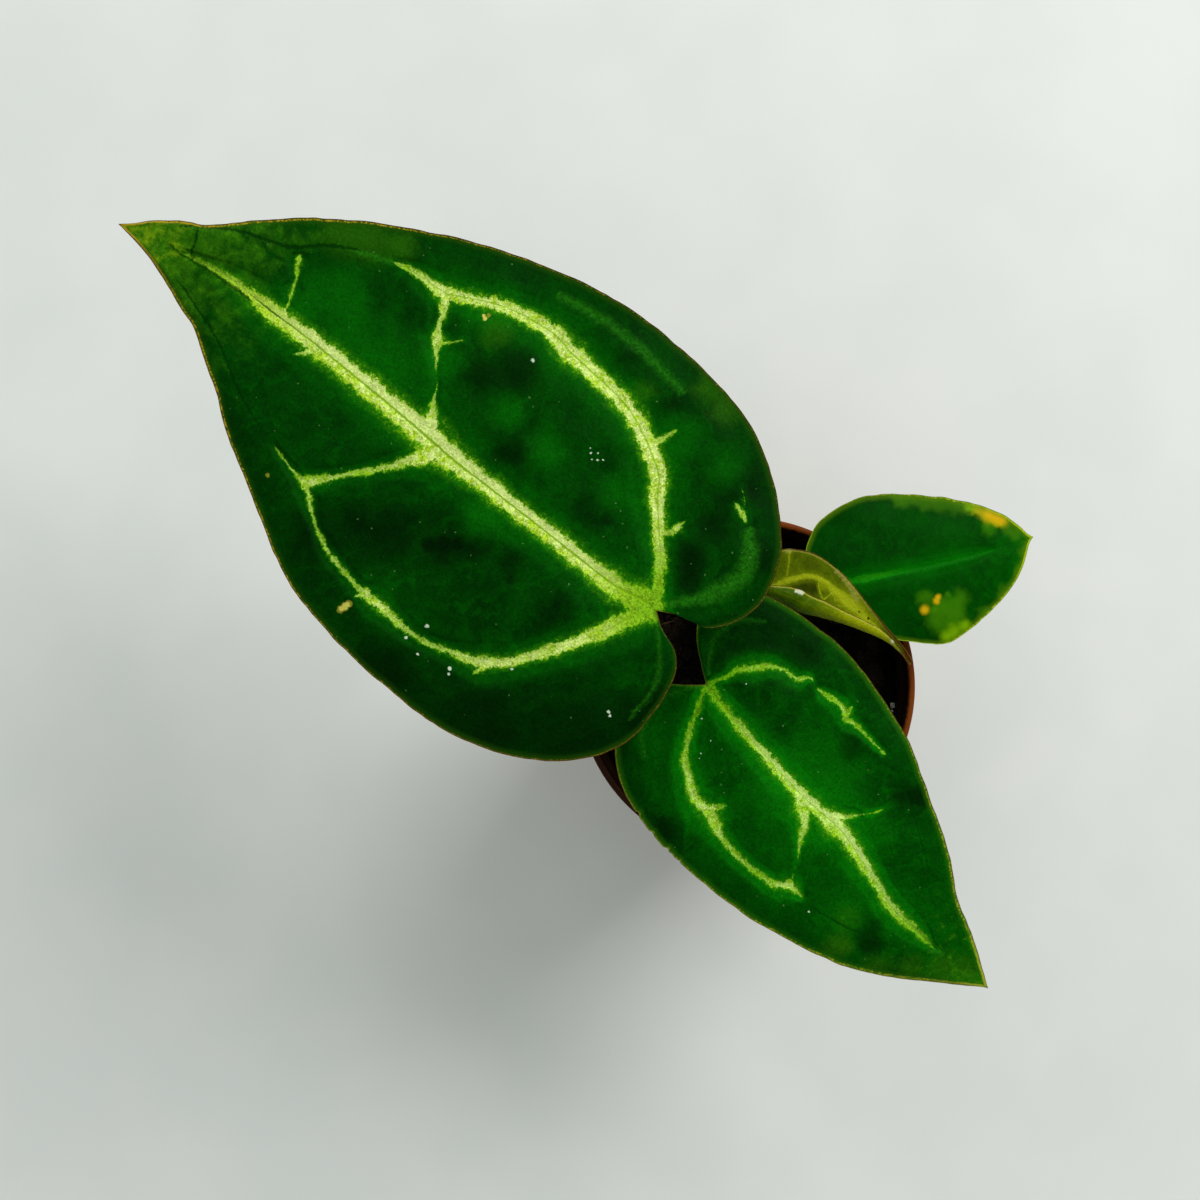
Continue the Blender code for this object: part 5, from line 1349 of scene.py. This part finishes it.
def makeFibres():
    # thin arcs that lie on the lumps, their ends a little raised
    dice = np.random.default_rng(81)
    places = scatterPlaces(82, *soil["fibres"])
    count, share = len(places), np.linspace(-0.5, 0.5, 12)[None, :]
    yaw = dice.uniform(0, 2 * np.pi, (count, 1))
    length = dice.uniform(*soil["fibreLength"], (count, 1))
    heading = yaw + dice.uniform(-1.6, 1.6, (count, 1)) * share
    x = places[:, :1] + length * share * np.cos(heading)
    y = places[:, 1:] + length * share * np.sin(heading)
    z = soilHeight(x, y)
    raised = dice.uniform(0, 1.2, (count, 1)) * np.abs(2 * share) ** 3
    z = 0.6 * z + 0.4 * z.max(axis=1, keepdims=True) + 0.25 + raised
    radii = dice.uniform(*soil["fibreRadius"], (count, 1)) * (1 - 0.5 * np.abs(2 * share) ** 2)
    reach = radii[..., None] * np.ones(5)
    points, tris, single = bundleTubes(np.stack((x, y, z), -1), reach, (0.2, 0.1, 0.97))
    tint = np.repeat(dice.uniform(0, 1, count), single)
    fibres = putMesh("coirFibres", points, tris, soilMaterial("coir"), {"tint": tint})
    settle(fibres, "potting_mix")


makeSoilBed(soilMaterial("potting_mix"))
makeTopping()
makeFibres()
print("pot and soil made")


# Stem, aerial roots and bracts at the crown

stem = {
    "at": (-4, 19), "foot": 44, "top": 88, "radius": 5.6, "scarSpacing": 5.5, "scarDepth": 0.35,
    "crown": (4.0, 2.8), "scarRise": 1.4,
    # direction, reach, height and radius of each root
    "roots": ((40, 14, 74, 1.3), (149, 13.5, 73, 1.2), (251, 13, 72.6, 1.25)),
    # direction, foot, height, half width and lean of each bract
    "bracts": ((98, 69.5, 25, 3.6, 4.5), (322, 70, 19, 2.4, 3.5)),
    "looks": {"olive": (0.045, 0.06, 0.014), "green": (0.105, 0.125, 0.032),
        "scar": (0.06, 0.032, 0.014), "foot": (0.05, 0.03, 0.015),
        "lenticel": (0.2, 0.15, 0.075), "cork": (0.06, 0.04, 0.02),
        "bloom": (0.13, 0.1, 0.055), "fleck": (0.21, 0.18, 0.12), "paper": (0.17, 0.095, 0.035),
        "straw": (0.33, 0.215, 0.095), "nerve": (0.09, 0.045, 0.018),
        "bractFoot": (0.1, 0.1, 0.03), "bractEnd": (0.075, 0.035, 0.015)},
}


def stemRadius(height):
    # slow taper with a shallow groove at each leaf scar
    share = np.maximum(0, (height - soil["top"]) / (stem["top"] - soil["top"]))
    wave = stem["scarDepth"] * np.cos(2 * np.pi * (height - soil["top"]) / stem["scarSpacing"])
    return stem["radius"] - share ** 2 + wave


def stemMaterial():
    # olive green with brown rings at the scars, paler lenticels and a dry brown foot
    bench = Bench("stem_bark", stem["looks"])
    z = bench.parts(bench.place)[2]
    fine = bench.noise(1.2, 5.0, 0.7)
    wander = (bench.noise(0.35, 3.0) - 0.5) * 1.8
    # one wave from scar to scar
    pace, start = 2 * math.pi / stem["scarSpacing"], soil["top"] + stem["scarRise"]
    ring = bench.math("SINE", (z - start + wander) * pace)
    streaks = bench.noise(1.0, 4.0, 0.65, 0.3, bench.stretch(2.2, 2.2, 0.35))
    colour = bench.coats("olive", ("green", streaks, 0.3, 0.7), ("scar", ring, -0.6, -0.95, 0.85),
        ("foot", z, 76.0, 66.5, 0.8), ("lenticel", fine, 0.63, 0.7, 0.6))
    relief = bench.bump(fine + streaks, 0.5, 0.35)
    return bench.finish(colour, bench.step(fine, 0.3, 0.7, 0.5, 0.7), relief, 0.25)


def rootMaterial():
    # corky skin, brown with greyish bloom and pale flecks
    bench = Bench("root_skin", stem["looks"])
    fine = bench.noise(1.5, 5.0, 0.7)
    colour = bench.coats("cork", ("bloom", bench.noise(0.4, 3.0, 0.6), 0.35, 0.65),
        ("fleck", fine, 0.6, 0.7, 0.6))
    return bench.finish(colour, 0.75, bench.bump(fine, 0.6, 0.3), 0.2)


def makeStem():
    # rings up the stem with a small wobble, closed by the flat crown
    top = stem["top"]
    height = np.concatenate((np.linspace(stem["foot"], top - 1.2, 200), (top - 0.5, top - 0.1)))
    turn = turns(96)[None, :]
    radius = stemRadius(height)[:, None] + 0.0 * turn
    tilt = height[:, None] + 0.7 * np.cos(turn - height[:, None] / 3.1)
    ring = np.cos(2 * np.pi * (tilt - soil["top"]) / stem["scarSpacing"])
    radius += 0.12 * (ring - 1) - 0.25 * np.exp(-((ring + 1) / 0.12) ** 2)
    radius -= 0.1 * (1 + softNoise(6 * np.cos(turn) + 0 * radius, height[:, None] / 1.6, 61, 2))
    radius[-2:] = np.array(stem["crown"])[:, None]
    radius = np.concatenate((radius[:1] * 0, radius, radius[-1:] * 0))
    level = np.concatenate((height[:1], height, height[-1:] + 0.1))[:, None] + 0 * radius
    points, tris = wrappedGrid(roundAxis(radius, turn, level, stem["at"]))
    settle(putMesh("stemCrown", points, tris, stemMaterial()), "stem_bark", "stem")


def makeRoots():
    # out of the stem, over, and straight down into the soil
    dice = np.random.default_rng(65)
    paths, radii, share = [], [], np.linspace(0, 1, 70)
    for direction, reach, leave, radius in stem["roots"]:
        out, up = np.transpose(((1.5, leave - 1.0), (5.5, leave), (reach - 3.5, leave - 0.6),
                                (reach - 0.7, leave - 3.2), (reach, 67), (reach, 60), (reach, 54)))
        path = roundAxis(out, math.radians(direction), up, stem["at"])
        paths.append(smoothCurve(np.column_stack((path, 0 * up)), 70)[:, :3])
        knots = 0.06 * np.interp(share, np.linspace(0, 1, 18), dice.uniform(-1, 1, 18))
        radii.append(radius * (1.15 - 0.3 * share) * (0.96 + knots))
    reach = np.array(radii)[..., None] * np.ones(20)
    points, tris = bundleTubes(np.array(paths), reach, (0.2, 0.1, 0.97))[:2]
    settle(putMesh("aerialRoots", points, tris, rootMaterial()), "stem_bark")


def bractMaterial():
    # papery brown with darker nerves, green at the foot and dark at the frayed end
    bench = Bench("dry_bract", stem["looks"])
    across, up = bench.parts(bench.field("sheet", "Vector"))[:2]
    fine = bench.noise(1.4, 4.0, 0.7)
    nerve = bench.math("SINE", across * 70.0 + bench.noise(0.3, 2.0) * 2.0)
    colour = bench.coats("paper", ("straw", fine, 0.3, 0.7), ("nerve", nerve, 0.5, 0.95, 0.6),
        ("bractFoot", up, 0.35, 0.0, 0.7), ("bractEnd", up, 0.86, 1.0, 0.6))
    return bench.finish(colour, 0.72, bench.bump(nerve * 0.5 + fine, 0.5, 0.3), 0.2)


def makeBracts():
    # narrow shells that follow the stem and lean away from it, drawn in to a frayed point
    material = bractMaterial()
    across, up = np.linspace(0, 1, 61)[None, :], np.linspace(0, 1, 91)[:, None]
    offMiddle = np.abs(2 * across - 1) ** 3
    sheet = np.stack(np.broadcast_arrays(across, up, 0 * up), -1).reshape(-1, 3)
    sheet = np.concatenate((sheet, sheet))
    for number, (direction, foot, height, halfWidth, lean) in enumerate(stem["bracts"]):
        nerves = 0.06 * np.cos(across * 2 * np.pi * 7) * (1 - up ** 4)
        radius = stem["radius"] + stem["scarDepth"] + 0.45 + lean * up ** 2 + nerves + 0.08
        fray = 0.25 * softNoise(up * 26, 7 * across, 67 + number, 2) * offMiddle * up
        side = (2 * across - 1) * halfWidth * (1 - up ** 1.6) + (across - 0.5) * 0.8 + fray
        angle = math.radians(direction) + side / radius
        sheets = [roundAxis(radius + out, angle, foot + height * up, stem["at"])
                  for out in (0.48 - 0.2 * offMiddle, 0.0)]
        points, tris = closedSheet(*sheets)
        bract = putMesh(f"bract{number + 1}", points, tris, material, {"sheet": sheet})
        settle(bract, "dry_bract", f"cataphyll_{number + 1}")


makeStem()
makeRoots()
makeBracts()
print("stem made")


# Petioles: the CAD node, then (x, y, z, radius) along the centre line

petioles = {
    "petioleLarge": ("petiole_large", ((-10.9, 21.1, 75.5, 1), (-11.5, 21.3, 79, 1.9),
        (-12.6, 21.9, 85, 2.1), (-14.8, 23.8, 98, 1.8), (-19, 26.2, 116, 1.6),
        (-24.5, 26.3, 135, 1.6), (-27.7, 23.8, 147, 1.9), (-28, 21.9, 153, 2),
        (-28, 21.9, 155.6, 1.8))),
    "petioleMedium": ("petiole_medium", ((-3.8, 11.7, 74.5, 1), (-3.8, 11.3, 78, 1.8),
        (-4, 10.4, 83, 1.9), (-5.6, 7.6, 95, 1.6), (-8.8, 3.6, 110, 1.5), (-11.6, 1.6, 123, 1.6),
        (-12.5, 1.5, 130, 1.8), (-12.5, 1.5, 132.6, 1.6))),
    "petioleSmall": ("petiole_small", ((3.3, 19, 69.5, 0.8), (3.7, 19.1, 72.5, 1.4),
        (4.6, 19.5, 75, 1.4), (8.2, 21.6, 79.2, 1.2), (12.6, 24.2, 82.4, 1.2),
        (16.2, 25.5, 83.9, 1.3), (18.2, 26, 84.4, 1.2))),
    "petioleNew": ("petiole_new", ((-3.8, 19.2, 88.3, 1.9), (-3.6, 19.4, 91, 1.7),
        (-2.8, 20.8, 98, 1.5), (-1.4, 23.4, 107, 1.3), (0.3, 25.3, 113.5, 1.3),
        (1.2, 26, 116.9, 1.1))),
}
petioleLooks = {
    "dark": (0.028, 0.09, 0.01), "light": (0.07, 0.165, 0.022), "foot": (0.085, 0.05, 0.022),
    "top": (0.14, 0.21, 0.035), "fleck": (0.2, 0.27, 0.09),
}


def petioleMaterial():
    # green with fine lengthwise streaks and pale flecks, brown at the foot, yellowish at the top
    bench = Bench("petiole_green", petioleLooks)
    stalk = bench.field("stalk", "Vector")
    run = bench.parts(stalk)[0]
    fine = bench.noise(1.8, 4.0, 0.65)
    streaks = bench.noise(1.0, 3.0, 0.6, 0.0, bench.stretch(9.0, 14.0, 1.0, stalk))
    colour = bench.coats("dark", ("light", streaks, 0.3, 0.7), ("foot", run, 0.22, 0.0, 0.8),
        ("top", run, 0.88, 0.95, 0.5), ("fleck", fine, 0.64, 0.69, 0.55))
    relief = bench.bump(fine + streaks * 1.5, 0.35, 0.25)
    return bench.finish(colour, bench.step(fine, 0.3, 0.7, 0.34, 0.46), relief, 0.3)


def makePetioles():
    # a round stalk with a shallow groove, ribs, and a few rings where it swells below the blade
    material, stations, sides = petioleMaterial(), 140, 40
    turn, run = turns(sides)[None, :], np.linspace(0, 1, stations)[:, None]
    groove = 0.1 * np.exp(-((turn - 2.2) / 0.5) ** 2) * smoothStep(0.15, 0.3, run)
    creases = 0.05 * np.exp(-((np.mod(run * 60, 1) - 0.5) / 0.16) ** 2) * smoothStep(0.9, 0.94, run)
    for number, (name, (node, route)) in enumerate(petioles.items()):
        path = smoothCurve(route, stations)
        rough = softNoise(5 * np.cos(turn) + 9 * run, 5 * np.sin(turn), 55 + number)
        ribs = 0.012 * np.cos(9 * turn) + 0.02 * rough
        reach = path[:, 3:] * (0.985 - groove + ribs - creases)
        points, tris = bundleTubes(path[None, :, :3], reach[None], (0.31, 0.95, 0.05))[:2]
        ends = np.concatenate(((0,), run[:, 0], (1,)))[:, None]
        stalk = np.stack(np.broadcast_arrays(ends, np.linspace(0, 1, sides), 0 * ends), -1)
        piece = putMesh(name, points, tris, material, {"stalk": stalk.reshape(-1, 3)})
        settle(piece, "petiole_green", node)


makePetioles()
print("petioles made")

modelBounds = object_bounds()
({"cad": [list(map(float, corner)) for corner in cadBounds],
           "model": [list(map(float, corner)) for corner in modelBounds]})
